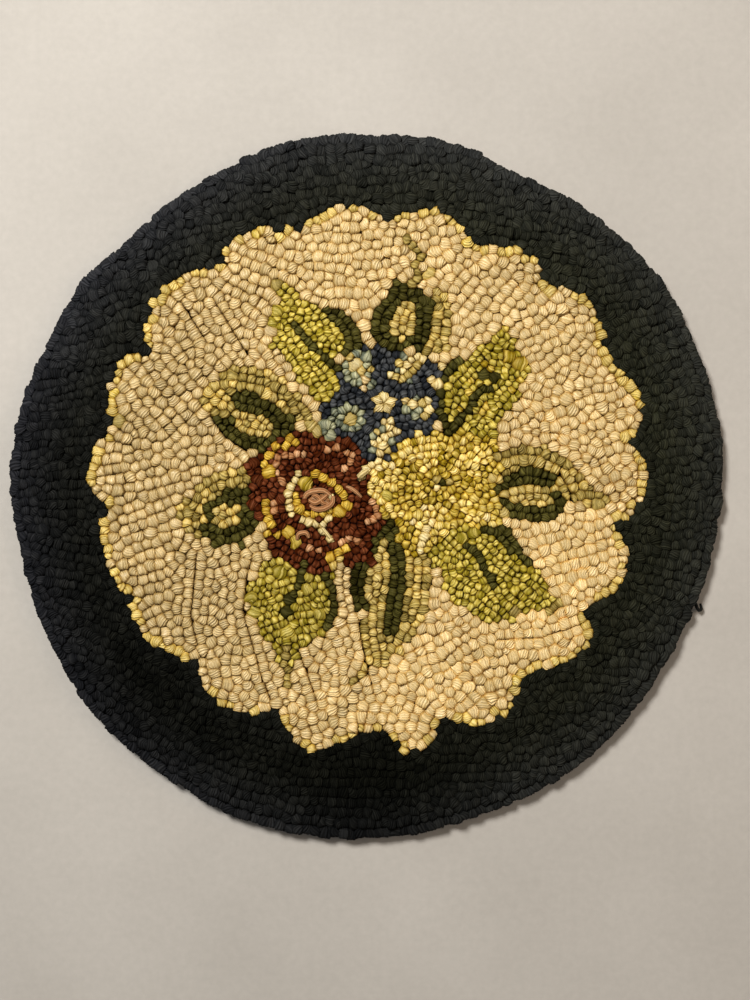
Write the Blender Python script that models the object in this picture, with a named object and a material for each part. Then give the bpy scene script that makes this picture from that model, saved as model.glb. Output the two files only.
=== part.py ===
"""Round hooked chair pad: one thick piece of hooked cloth that lies flat.

The underside is a plain flat cloth face on z = 0. Wool loops stand packed on it, so the upper face is
gently uneven and the rim is round, where the outermost loops lean over the turned edge of the cloth.
X runs to the right across the pattern and Y runs up it. The origin is under the middle of the pad.
"""

import math

import bmesh
import bpy

# Driving sizes, in metres
PAD_DIAMETER = 0.356
PAD_THICKNESS = 0.0096
UNEVENNESS = 0.0007

# Resolution of the faceted solid
RIM_SEGMENTS = 144
FACE_RINGS = 10

# How far the hand-made rim stands outside an even ring, anticlockwise from +X
RIM_COLUMNS = ("angle_deg", "out_mm")
RIM_TABLE = (
    (0, 1.4),
    (12, 2.8),
    (24, 2.1),
    (35, 3.6),
    (45, 1.2),
    (52, 0.9),
    (65, -3.1),
    (75, 0.8),
    (90, -0.4),
    (101, 0.9),
    (112, -1.3),
    (122, -2.9),
    (134, -4.0),
    (145, -0.3),
    (155, -1.0),
    (166, 1.4),
    (180, 2.3),
    (190, 0.1),
    (205, 0.3),
    (222, 1.8),
    (235, 0.4),
    (248, 1.6),
    (262, 0.6),
    (275, -0.8),
    (290, -2.5),
    (308, -1.3),
    (330, -3.1),
    (347, -0.8),
)

# The rim from the underside up to the upper face: distance in from the widest line, and share of the thickness
EDGE_COLUMNS = ("inward", "height_share")
EDGE_TABLE = (
    (0.0034, 0.0),
    (0.0014, 0.09),
    (0.0003, 0.27),
    (0.0, 0.48),
    (0.0006, 0.70),
    (0.0019, 0.87),
    (0.0042, 0.97),
)

# Long soft swells in the upper face: share of the unevenness, waves across the pad in X and in Y, and turn
SWELL_COLUMNS = ("share", "waves_x", "waves_y", "turn_deg")
SWELL_TABLE = (
    (0.45, 1.3, 0.4, 20),
    (0.30, 0.7, 1.9, 140),
    (0.25, 2.6, 1.5, 260),
)

# Finish
WOOL_COLOUR = (0.62, 0.55, 0.42, 1.0)
WOOL_ROUGHNESS = 0.95


def clear_scene():
    """Remove whatever the file holds, so that only the pad is left."""
    for thing in list(bpy.data.objects):
        bpy.data.objects.remove(thing, do_unlink=True)


def through_four(before, start, end, after, share):
    """A smooth value between start and end, on a curve that also heeds their two neighbours."""
    slope_start = (end - before) / 2
    slope_end = (after - start) / 2
    cubic = 2 * start - 2 * end + slope_start + slope_end
    square = -3 * start + 3 * end - 2 * slope_start - slope_end
    return ((cubic * share + square) * share + slope_start) * share + start


def rim_wander(angle_deg):
    """How far the rim stands out at this angle, in metres."""
    rows = len(RIM_TABLE)
    for row in range(rows):
        start_deg, start_mm = RIM_TABLE[row]
        end_deg, end_mm = RIM_TABLE[(row + 1) % rows]
        span = (end_deg - start_deg) % 360
        passed = (angle_deg - start_deg) % 360
        if passed < span:
            before_mm = RIM_TABLE[row - 1][1]
            after_mm = RIM_TABLE[(row + 2) % rows][1]
            return through_four(before_mm, start_mm, end_mm, after_mm, passed / span) / 1000
    return 0.0


def rim_points():
    """The widest line of the pad seen from above, moved so that the middle of its box is the origin."""
    points = []
    for step in range(RIM_SEGMENTS):
        angle = 2 * math.pi * step / RIM_SEGMENTS
        radius = PAD_DIAMETER / 2 + rim_wander(math.degrees(angle))
        points.append((radius * math.cos(angle), radius * math.sin(angle)))
    middle_x = (max(x for x, y in points) + min(x for x, y in points)) / 2
    middle_y = (max(y for x, y in points) + min(y for x, y in points)) / 2
    return [(x - middle_x, y - middle_y) for x, y in points]


def pile_top(x, y):
    """Height of the upper face over a point, with the soft swells of cloth hooked by hand."""
    swell = 0.0
    for share, waves_x, waves_y, turn_deg in SWELL_TABLE:
        phase = 2 * math.pi * (waves_x * x + waves_y * y) / PAD_DIAMETER + math.radians(turn_deg)
        swell += share * math.sin(phase)
    return PAD_THICKNESS - UNEVENNESS * (1 - swell) / 2


def inset_ring(points, inward):
    """The rim's line drawn in towards the middle by a distance."""
    ring = []
    for x, y in points:
        reach = math.hypot(x, y)
        share = (reach - inward) / reach
        ring.append((x * share, y * share))
    return ring


def bridge(mesh, outer, inner):
    """Quads between two rings of the same count, facing away from the body."""
    for here in range(len(outer)):
        beside = (here + 1) % len(outer)
        mesh.faces.new((outer[here], outer[beside], inner[beside], inner[here]))


def hooked_cloth():
    """The whole pad as one closed body: flat underside, round rim and uneven upper face."""
    rim = rim_points()
    mesh = bmesh.new()

    rings = []
    for inward, height_share in EDGE_TABLE:
        line = inset_ring(rim, inward)
        rings.append([mesh.verts.new((x, y, height_share * pile_top(x, y))) for x, y in line])
    face_edge = inset_ring(rim, EDGE_TABLE[-1][0])
    for step in range(1, FACE_RINGS):
        share = 1 - step / FACE_RINGS
        line = [(x * share, y * share) for x, y in face_edge]
        rings.append([mesh.verts.new((x, y, pile_top(x, y))) for x, y in line])
    for outer, inner in zip(rings, rings[1:]):
        bridge(mesh, outer, inner)

    middle = mesh.verts.new((0.0, 0.0, pile_top(0.0, 0.0)))
    last = rings[-1]
    for here in range(RIM_SEGMENTS):
        mesh.faces.new((last[here], last[(here + 1) % RIM_SEGMENTS], middle))
    mesh.faces.new(list(reversed(rings[0])))

    data = bpy.data.meshes.new("hooked_pad")
    mesh.to_mesh(data)
    mesh.free()
    return data


def wool_material():
    """Undyed wool, as an average of the pad's field."""
    material = bpy.data.materials.new("hooked_wool")
    material.use_nodes = True
    shader = material.node_tree.nodes["Principled BSDF"]
    shader.inputs["Base Color"].default_value = WOOL_COLOUR
    shader.inputs["Roughness"].default_value = WOOL_ROUGHNESS
    shader.inputs["Metallic"].default_value = 0.0
    return material


def build():
    clear_scene()
    data = hooked_cloth()
    data.materials.append(wool_material())
    data.shade_smooth()
    pad = bpy.data.objects.new("hooked_pad", data)
    bpy.context.scene.collection.objects.link(pad)


build()
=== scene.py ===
"""Looks of the round hooked chair pad: each wool loop of its pile, standing on the foundation cloth.

The chart of the pattern is kept in the photograph's pixels, on its frame of 750 by 1000, and drawn as
outlines, rows and single loops. Loop sizes are real ones. From the chart, every loop gets a place, a yarn
and the direction of its row, and then a shape that fits between its neighbours.
"""

import math
import random
from collections import namedtuple
from dataclasses import dataclass
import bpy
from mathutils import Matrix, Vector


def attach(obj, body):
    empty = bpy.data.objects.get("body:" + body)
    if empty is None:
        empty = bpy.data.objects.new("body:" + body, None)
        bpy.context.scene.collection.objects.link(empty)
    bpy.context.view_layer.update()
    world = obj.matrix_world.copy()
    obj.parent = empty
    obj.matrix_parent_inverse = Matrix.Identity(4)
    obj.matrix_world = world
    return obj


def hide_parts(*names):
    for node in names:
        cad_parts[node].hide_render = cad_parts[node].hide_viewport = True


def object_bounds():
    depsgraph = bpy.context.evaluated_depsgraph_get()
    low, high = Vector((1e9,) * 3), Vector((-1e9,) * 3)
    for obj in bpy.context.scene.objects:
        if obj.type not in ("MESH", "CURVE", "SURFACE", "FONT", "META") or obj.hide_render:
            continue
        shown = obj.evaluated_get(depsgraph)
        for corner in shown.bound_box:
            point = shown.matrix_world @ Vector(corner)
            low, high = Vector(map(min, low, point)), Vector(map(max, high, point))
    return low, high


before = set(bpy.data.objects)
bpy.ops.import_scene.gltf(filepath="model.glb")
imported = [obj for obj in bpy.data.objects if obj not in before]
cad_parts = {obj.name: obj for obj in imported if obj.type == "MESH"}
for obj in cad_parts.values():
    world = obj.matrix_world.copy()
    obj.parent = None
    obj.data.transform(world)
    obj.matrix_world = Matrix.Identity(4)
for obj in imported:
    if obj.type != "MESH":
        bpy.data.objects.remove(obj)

from types import SimpleNamespace

import bpy
import numpy as np
from mathutils import Vector, kdtree
from mathutils.bvhtree import BVHTree

CAD_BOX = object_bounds()
MM = 0.001
FULL_TURN = 2 * math.pi
SEED = 7

# The photograph: its frame, the pixel over the pad's middle, and a pixel's width at the pad
PHOTO_WIDE = 750
PHOTO_HIGH = 1000
PHOTO_MIDDLE = (366.75, 486.75)
PIXEL_MM = 0.5033

# Sizes of the cloth and the pile, in millimetres
PILE_FOOT = 1.0
CLOTH_TOP = 1.2
CLOTH_RECESS = 0.3
HEM_WIDTH = 21.0
RIM_PITCH = 4.5
RIM_INSET = 2.4
RIM_WIDEST = 4.6
BORDER_LOOP = 4.5
FIELD_LOOP = 5.05
SCALLOP_LOOP = 4.4
SCALLOP_STRAY = 0.75
SCALLOP_YARNS = (("gold", 0.60), ("lemon", 0.07), ("ecru", 0.33))
# How often a row of loops ends by chance
ROW_BREAK = 0.10
# Distance between loops of a row, and between rows, as shares of a loop's width
ROW_PITCH = 0.92
ROWS_APART = 1.08
# How near loops may stand, as a share of their mean width
STROKE_ROOM = 0.66
CREASE_ROOM = 0.80
MOTIF_ROOM = 0.84
BORDER_ROOM = 0.86
FIELD_ROOM = 0.88
# Gaps are filled in rounds: how near the new loops may stand, and how wide they are, as shares of the usual
# width, and then the distance between the places tried, in millimetres
GAP_ROUNDS = ((0.80, 1.0), (0.90, 0.72))
GAP_STEP = 1.1
# How far neighbours in a row press into each other, and how far rows stand apart
PRESS_IN_ROW = 0.44
PRESS_OF_ROWS = 0.32
RIM_PRESS = 1.9
RIM_PLUMP = 0.7
# Directions in which an outline is measured, and its greatest reach as a share of the loop's width
OUTLINE_STEPS = 20
OUTLINE_LIMIT = 0.95
# How softly the charted directions blend: a distance in millimetres, and the power of the fall beyond it
BLEND_DISTANCE = 5.0
BLEND_POWER = 1.5

# Yarns: the two colours that a loop's strands lie between, how much strands of one loop differ,
# how deep the strands stand out in millimetres, how glossy the wool is, and the record's slot
Yarn = namedtuple("Yarn", ("colour", "second_colour", "mottle", "relief", "gloss", "slot"))
YARNS = {
    "charcoal": Yarn((0.0225, 0.0238, 0.0213), (0.0112, 0.0123, 0.0118), 0.50, 0.30, 0.07, "charcoal_wool"),
    "ecru": Yarn((0.69, 0.530, 0.268), (0.54, 0.408, 0.188), 0.45, 0.27, 0.35, "ecru_wool"),
    "cream": Yarn((0.77, 0.655, 0.345), (0.63, 0.50, 0.225), 0.40, 0.27, 0.28, "ecru_wool"),
    "gold": Yarn((0.71, 0.545, 0.185), (0.54, 0.405, 0.115), 0.50, 0.25, 0.26, "gold_wool"),
    "amber": Yarn((0.74, 0.53, 0.088), (0.45, 0.28, 0.022), 0.50, 0.28, 0.26, "gold_wool"),
    "mustard": Yarn((0.69, 0.52, 0.105), (0.30, 0.207, 0.006), 0.55, 0.29, 0.27, "gold_wool"),
    "lemon": Yarn((0.88, 0.715, 0.280), (0.60, 0.455, 0.090), 0.50, 0.28, 0.30, "gold_wool"),
    "leaf": Yarn((0.64, 0.52, 0.110), (0.28, 0.220, 0.014), 0.55, 0.28, 0.27, "green_wool"),
    "olive": Yarn((0.088, 0.078, 0.014), (0.035, 0.031, 0.005), 0.45, 0.27, 0.09, "green_wool"),
    "khaki": Yarn((0.47, 0.360, 0.105), (0.25, 0.185, 0.045), 0.55, 0.26, 0.22, "green_wool"),
    "tan": Yarn((0.60, 0.465, 0.170), (0.39, 0.295, 0.078), 0.50, 0.26, 0.24, "ecru_wool"),
    "maroon": Yarn((0.158, 0.043, 0.0135), (0.058, 0.0125, 0.003), 0.50, 0.29, 0.13, "red_wool"),
    "pink": Yarn((0.62, 0.365, 0.190), (0.38, 0.18, 0.075), 0.50, 0.25, 0.22, "red_wool"),
    "navy": Yarn((0.064, 0.069, 0.074), (0.017, 0.020, 0.025), 0.50, 0.27, 0.14, "blue_wool"),
    "teal": Yarn((0.43, 0.43, 0.265), (0.15, 0.170, 0.122), 0.60, 0.27, 0.22, "blue_wool"),
}
# Mixed rows and areas: each loop takes one of these yarns, by their shares
MIXES = {
    "shading": (("khaki", 0.50), ("tan", 0.25), ("gold", 0.25)),
    "core": (("tan", 0.65), ("gold", 0.25), ("khaki", 0.10)),
}
# Sheen of the fibres, as a share of the gloss
SHEEN = 0.12
MATT_ROUGHNESS = 0.72
GLOSS_SMOOTHING = 0.95


def table(kind, columns, rows):
    """Rows of a table, with its columns named."""
    row_type = namedtuple(kind, columns)
    return [row_type(*row) for row in rows]


# The scalloped edge of the pale field: a notch, how far the lobe after it bulges out, where along it the
# bulge is greatest, and how pointed it is
LOBES = table("Lobe", ("notch_px", "bulge_px", "peak_share", "pointedness"), (
    ((389, 219), 22, 0.56, 0.80),
    ((471, 244), 18, 0.62, 0.75),
    ((544, 283), 22, 0.54, 0.70),
    ((602, 346), 24, 0.62, 0.90),
    ((629, 444), 27, 0.46, 0.55),
    ((613, 524), 28, 0.44, 0.90),
    ((584, 611), 28, 0.33, 0.85),
    ((523, 674), 27, 0.52, 0.60),
    ((447, 715), 26, 0.55, 0.75),
    ((384, 731), 2, 0.50, 1.00),
    ((366, 731), 31, 0.56, 0.90),
    ((278, 712), 29, 0.58, 0.75),
    ((199, 661), 20, 0.52, 0.75),
    ((130, 597), 14, 0.42, 0.70),
    ((105, 506), 18, 0.50, 0.75),
    ((107, 434), 21, 0.62, 0.90),
    ((145, 352), 28, 0.46, 0.95),
    ((223, 262), 20, 0.42, 0.75),
    ((300, 232), 19, 0.46, 0.75),
))
LOBE_STEPS = 12

# Which way the rows of the pale field run, in degrees anticlockwise from +X, and how far from rows the
# loops stand, from 0 for tidy rows to 1 for none
ROW_COLUMNS = ("place_px", "turn_deg", "scatter")
FIELD_TURNS = table("Row", ROW_COLUMNS, (
    ((205, 325), -60, 0.2),
    ((125, 388), -60, 0.3),
    ((155, 412), -52, 0.2),
    ((110, 480), 12, 0.2),
    ((160, 470), 16, 0.2),
    ((220, 458), 18, 0.3),
    ((125, 530), 20, 0.5),
    ((130, 590), 14, 0.4),
    ((265, 280), -25, 0.4),
    ((205, 408), -46, 0.2),
    ((200, 580), -80, 0.2),
    ((225, 660), -76, 0.3),
    ((300, 690), -80, 0.5),
    ((350, 270), 0, 0.4),
    ((345, 690), -86, 0.5),
    ((395, 250), 12, 0.8),
    ((470, 290), 45, 0.7),
    ((540, 340), 38, 0.7),
    ((590, 400), 28, 1.0),
    ((590, 480), -62, 0.8),
    ((560, 580), 18, 0.1),
    ((590, 550), 16, 0.1),
    ((530, 640), 7, 0.2),
    ((450, 660), 28, 0.5),
    ((400, 700), 60, 0.6),
))

# The same for the rows of the border, which run mostly from side to side
BORDER_TURNS = table("Row", ROW_COLUMNS, (
    ((50, 480), 4, 0.3),
    ((80, 380), 12, 0.4),
    ((130, 290), 10, 0.7),
    ((200, 215), 16, 0.6),
    ((280, 170), 14, 0.5),
    ((350, 160), 4, 0.4),
    ((430, 160), -4, 0.3),
    ((500, 190), -8, 0.4),
    ((560, 230), -12, 0.9),
    ((620, 290), 10, 0.6),
    ((650, 330), 22, 0.2),
    ((670, 400), 14, 0.4),
    ((690, 500), 2, 0.4),
    ((650, 610), -14, 0.5),
    ((610, 680), -12, 0.6),
    ((560, 730), 12, 1.0),
    ((500, 750), 2, 0.4),
    ((430, 790), -3, 0.2),
    ((330, 800), 0, 0.2),
    ((270, 780), -10, 0.3),
    ((200, 740), -28, 0.4),
    ((140, 690), -34, 0.4),
    ((90, 640), -24, 0.4),
    ((60, 570), -12, 0.4),
))

# Patches of lighter or darker wool: slot, middle, reach in millimetres, and change of tone. Over the black
# border they are painted light and shade, lighter at the top and right and darker at the bottom and left
TONE_PATCHES = table("TonePatch", ("slot", "place_px", "reach_mm", "change"), (
    ("ecru_wool", (135, 450), 45, -0.13),
    ("ecru_wool", (170, 610), 45, -0.13),
    ("ecru_wool", (190, 330), 35, -0.09),
    ("ecru_wool", (380, 245), 45, 0.06),
    ("ecru_wool", (580, 420), 50, 0.08),
    ("ecru_wool", (560, 600), 45, 0.20),
    ("ecru_wool", (420, 700), 45, 0.12),
    ("gold_wool", (110, 410), 45, -0.06),
    ("green_wool", (356, 588), 13, -0.45),
    ("green_wool", (520, 560), 25, 0.10),
    ("green_wool", (310, 335), 20, 0.12),
    ("green_wool", (292, 610), 25, -0.12),
    ("charcoal_wool", (370, 835), 66, -0.70),
    ("charcoal_wool", (130, 730), 60, -0.56),
    ("charcoal_wool", (35, 560), 60, -0.34),
    ("charcoal_wool", (50, 420), 50, -0.22),
    ("charcoal_wool", (610, 740), 50, -0.08),
    ("charcoal_wool", (680, 400), 70, 0.20),
    ("charcoal_wool", (460, 170), 80, 0.30),
))
DARKEST_TONE = 0.2

# The border is lighter at the rim, and darker from this far in: tones, and distance in millimetres
RIM_TONE = 1.22
INNER_TONE = 0.84
INNER_REACH = 30.0
# Painted cool light makes its black bluer on the left, and it is also bluer at the rim: blue at the rim,
# how much more on the left, and its loss further in
RIM_BLUE = 1.18
LEFT_BLUE = 0.24
INNER_BLUE_LOSS = 0.36

# Long creases where two rows of the field have parted: their lines in pixels, and in millimetres the
# farthest and nearest that a loop's middle stands to be pressed by one, and how wide they gape
CREASES = (
    ((252, 556), (246, 580), (243, 612), (252, 645), (262, 680), (272, 705)),
    ((358, 618), (361, 640), (366, 662), (373, 690)),
    ((196, 556), (193, 590), (190, 618), (196, 640)),
    ((207, 412), (224, 436), (247, 452)),
    ((214, 300), (232, 330), (246, 352)),
    ((183, 305), (205, 340)),
    ((300, 655), (309, 680), (318, 705)),
    ((500, 640), (540, 638), (575, 626)),
    ((560, 470), (575, 505)),
)
CREASE_REACH = 3.6
CREASE_NEAREST = 0.3
CREASE_GAP = 0.16

# How far the loops of the pattern's areas stray from their rows: straight rows, and circling ones
AREA_SCATTER = 0.45
RING_SCATTER = 0.75
# Middles of the flowers, which the rows of their loops circle
YELLOW_MIDDLE = (438, 486)
BLUE_MIDDLE = (384, 403)
RED_MIDDLE = (319, 501)
# Areas of the pattern, painted in this order: yarns with their shares, loop size, the direction of the rows
# or the place that they circle, and outline
AREAS = table("Area", ("yarns", "loop_mm", "rows", "outline_px"), (
    # Leaf at the upper left
    ((("leaf", 1.0),), 3.45, -55, (
        (274, 278), (284, 283), (292, 291), (303, 303), (322, 309), (334, 322), (346, 335), (349, 346),
        (338, 360), (335, 372), (346, 392), (345, 403), (328, 404), (309, 394), (297, 374), (281, 355),
        (270, 342), (268, 330), (277, 322), (277, 308), (281, 296))),
    # Leaf at the upper right
    ((("leaf", 0.9), ("mustard", 0.1)), 3.45, 50, (
        (497, 333), (506, 328), (514, 334), (513, 346), (520, 350), (530, 361), (529, 371), (524, 375),
        (522, 390), (516, 403), (507, 412), (500, 422), (497, 433), (484, 440), (462, 436), (448, 425),
        (446, 405), (446, 388), (455, 377), (463, 364), (471, 357), (477, 349), (486, 343), (491, 337))),
    # Leaf at the lower right
    ((("leaf", 1.0),), 3.45, -40, (
        (450, 532), (470, 526), (487, 526), (502, 534), (514, 556), (532, 567), (541, 573), (546, 583),
        (552, 592), (563, 599), (555, 608), (548, 616), (534, 612), (517, 621), (495, 621), (474, 613),
        (456, 601), (446, 588), (440, 572), (428, 560), (426, 546), (440, 540))),
    # Leaf at the lower left
    ((("leaf", 1.0),), 3.5, 20, (
        (262, 559), (276, 555), (290, 555), (302, 562), (318, 570), (332, 573), (337, 590), (336, 612),
        (331, 625), (317, 636), (304, 650), (296, 656), (294, 668), (290, 683), (284, 683), (280, 664),
        (277, 652), (262, 631), (256, 617), (248, 604), (247, 589), (253, 579), (257, 568))),
    # Open leaf at the top: shading, ring and core
    ((("khaki", 0.55), ("gold", 0.25), ("tan", 0.2)), 3.9, 80, (
        (432, 288), (448, 294), (453, 308), (449, 330), (449, 350), (436, 356), (420, 354), (430, 342),
        (431, 320), (437, 306))),
    ((("olive", 1.0),), 3.8, 60, (
        (396, 280), (404, 284), (410, 290), (428, 296), (436, 306), (430, 320), (429, 340), (418, 350),
        (400, 350), (384, 349), (374, 338), (371, 318), (384, 304), (391, 298))),
    ((("tan", 0.7), ("gold", 0.3)), 3.8, 80, (
        (404, 301), (414, 304), (417, 316), (415, 332), (407, 339), (395, 340), (390, 330), (391, 315))),
    # Open leaf at the right: shading, ring and core
    ((("khaki", 0.55), ("gold", 0.35), ("tan", 0.1)), 4.0, -20, (
        (494, 458), (510, 448), (528, 444), (545, 447), (558, 454), (572, 463), (578, 474), (592, 484),
        (592, 492), (608, 500), (606, 508), (592, 506), (578, 503), (566, 507), (566, 494), (562, 484),
        (560, 472), (542, 468), (524, 465), (512, 472), (502, 482), (496, 476))),
    ((("olive", 1.0),), 3.8, 0, (
        (494, 488), (505, 481), (514, 474), (524, 467), (542, 470), (558, 473), (559, 484), (564, 494),
        (563, 506), (557, 518), (540, 522), (520, 517), (506, 510), (500, 500), (503, 493))),
    ((("tan", 0.75), ("gold", 0.25)), 3.8, 10, (
        (503, 491), (515, 488), (528, 484), (545, 489), (558, 487), (556, 497), (550, 505), (530, 506),
        (512, 503), (504, 498))),
    # Long open leaf at the bottom: shading, core and the two dark sides
    ((("khaki", 0.6), ("gold", 0.4)), 4.0, -85, (
        (408, 556), (430, 556), (431, 590), (428, 612), (418, 634), (402, 650), (386, 662), (378, 672),
        (366, 668), (360, 655), (360, 630), (366, 618), (380, 640), (396, 636), (402, 612), (407, 590))),
    ((("tan", 0.7), ("gold", 0.3)), 4.0, -85, (
        (384, 540), (391, 552), (391, 580), (388, 600), (382, 620), (380, 640), (362, 640), (366, 615),
        (362, 600), (364, 580), (370, 562))),
    ((("olive", 1.0),), 3.9, -85, (
        (351, 562), (366, 561), (366, 575), (364, 590), (366, 604), (366, 614), (356, 614), (350, 600),
        (349, 580))),
    ((("olive", 1.0),), 3.9, -85, (
        (378, 528), (392, 524), (398, 538), (405, 546), (408, 562), (407, 590), (402, 610), (396, 636),
        (385, 639), (384, 620), (388, 600), (391, 580), (390, 560), (384, 546), (370, 556), (364, 552),
        (372, 538))),
    ((("khaki", 1.0),), 4.2, 50, ((364, 664), (370, 672), (360, 686), (350, 682), (354, 672))),
    # Open leaf at the lower left: shading, ring and core
    ((("khaki", 0.5), ("gold", 0.3), ("tan", 0.2)), 4.1, 40, (
        (182, 500), (205, 482), (222, 470), (246, 466), (256, 475), (260, 490), (248, 488), (230, 487),
        (214, 496), (202, 504), (206, 514), (204, 524), (200, 536), (186, 532), (178, 518))),
    ((("olive", 1.0),), 3.9, 30, (
        (203, 504), (216, 497), (230, 488), (246, 489), (248, 504), (256, 515), (262, 526), (248, 535),
        (240, 545), (224, 547), (204, 540), (200, 528), (212, 524), (206, 514))),
    ((("tan", 0.7), ("gold", 0.3)), 3.8, 40, (
        (212, 513), (226, 503), (240, 507), (240, 522), (231, 530), (215, 528))),
    # Open leaf at the upper left: shading, ring and core
    ((("khaki", 0.6), ("gold", 0.2), ("tan", 0.2)), 4.1, -20, (
        (202, 388), (216, 378), (236, 368), (262, 368), (284, 378), (298, 394), (300, 410), (292, 418),
        (280, 408), (262, 398), (248, 390), (232, 390), (230, 404), (228, 414), (216, 418), (206, 410),
        (200, 400))),
    ((("olive", 1.0),), 3.9, -30, (
        (232, 392), (250, 392), (270, 402), (288, 414), (294, 428), (285, 444), (265, 452), (248, 450),
        (230, 442), (216, 428), (214, 418), (230, 418), (234, 404))),
    ((("tan", 0.75), ("gold", 0.25)), 3.8, -30, (
        (234, 412), (246, 412), (262, 414), (274, 424), (268, 436), (254, 440), (240, 434), (232, 424))),
    # Yellow flower, with its paler petals
    ((("mustard", 0.9), ("lemon", 0.1)), 3.55, YELLOW_MIDDLE, (
        (411, 431), (420, 425), (434, 431), (446, 436), (462, 438), (476, 432), (492, 440), (499, 455),
        (504, 470), (499, 486), (503, 497), (507, 511), (500, 522), (484, 526), (470, 527), (456, 531),
        (443, 542), (432, 551), (418, 556), (403, 556), (397, 540), (396, 524), (386, 520), (378, 505),
        (369, 497), (368, 484), (374, 478), (374, 463), (392, 456), (397, 442), (405, 440))),
    ((("lemon", 0.8), ("mustard", 0.2)), 3.6, YELLOW_MIDDLE, (
        (404, 437), (420, 431), (438, 437), (440, 455), (432, 467), (412, 466), (402, 455))),
    ((("lemon", 0.7), ("cream", 0.1), ("mustard", 0.2)), 3.7, YELLOW_MIDDLE, (
        (372, 466), (390, 459), (400, 468), (402, 486), (392, 500), (374, 498), (366, 489), (372, 478))),
    ((("lemon", 0.6), ("cream", 0.15), ("mustard", 0.25)), 3.6, YELLOW_MIDDLE, (
        (460, 455), (478, 446), (496, 455), (502, 470), (486, 478), (466, 474))),
    ((("lemon", 0.65), ("cream", 0.1), ("mustard", 0.25)), 3.6, YELLOW_MIDDLE, (
        (456, 500), (476, 497), (500, 496), (506, 512), (499, 522), (482, 522), (464, 516))),
    ((("lemon", 0.6), ("cream", 0.2), ("mustard", 0.2)), 3.75, YELLOW_MIDDLE, (
        (412, 512), (428, 504), (444, 506), (448, 520), (438, 540), (424, 549), (413, 536))),
    # Blue flower, with its five pale petals
    ((("navy", 1.0),), 3.5, BLUE_MIDDLE, (
        (356, 346), (378, 345), (398, 352), (412, 356), (425, 357), (440, 358), (441, 372), (434, 390),
        (440, 398), (445, 405), (438, 420), (430, 433), (415, 430), (406, 441), (398, 440), (392, 458),
        (372, 462), (352, 462), (345, 440), (330, 440), (322, 430), (320, 405), (335, 402), (340, 385),
        (336, 372), (345, 355))),
    ((("teal", 0.7), ("tan", 0.3)), 3.6, BLUE_MIDDLE, (
        (343, 358), (352, 356), (362, 350), (371, 356), (373, 372), (376, 386), (366, 393), (356, 388),
        (345, 382), (341, 368))),
    ((("teal", 0.5), ("tan", 0.3), ("cream", 0.2)), 3.5, BLUE_MIDDLE, (
        (400, 356), (417, 352), (424, 358), (421, 372), (412, 381), (396, 384), (387, 377), (393, 366))),
    ((("teal", 0.6), ("cream", 0.3), ("tan", 0.1)), 3.6, BLUE_MIDDLE, (
        (402, 398), (413, 394), (428, 397), (436, 408), (430, 418), (416, 419), (404, 412))),
    ((("teal", 0.7), ("cream", 0.2), ("tan", 0.1)), 3.5, BLUE_MIDDLE, (
        (379, 424), (387, 418), (399, 424), (399, 436), (392, 446), (393, 456), (382, 459), (370, 448),
        (371, 438))),
    ((("teal", 0.9), ("cream", 0.1)), 3.6, BLUE_MIDDLE, (
        (333, 412), (345, 405), (359, 405), (365, 415), (361, 429), (348, 433), (335, 428), (321, 433),
        (319, 423))),
    # Red flower
    ((("maroon", 1.0),), 3.45, RED_MIDDLE, (
        (247, 470), (255, 450), (268, 443), (290, 432), (305, 430), (320, 437), (345, 438), (358, 447),
        (365, 462), (372, 480), (372, 500), (378, 515), (388, 522), (380, 528), (370, 540), (375, 560),
        (382, 568), (370, 570), (355, 568), (330, 570), (320, 578), (300, 570), (275, 555), (268, 545),
        (268, 530), (255, 510), (248, 495))),
))

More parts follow.
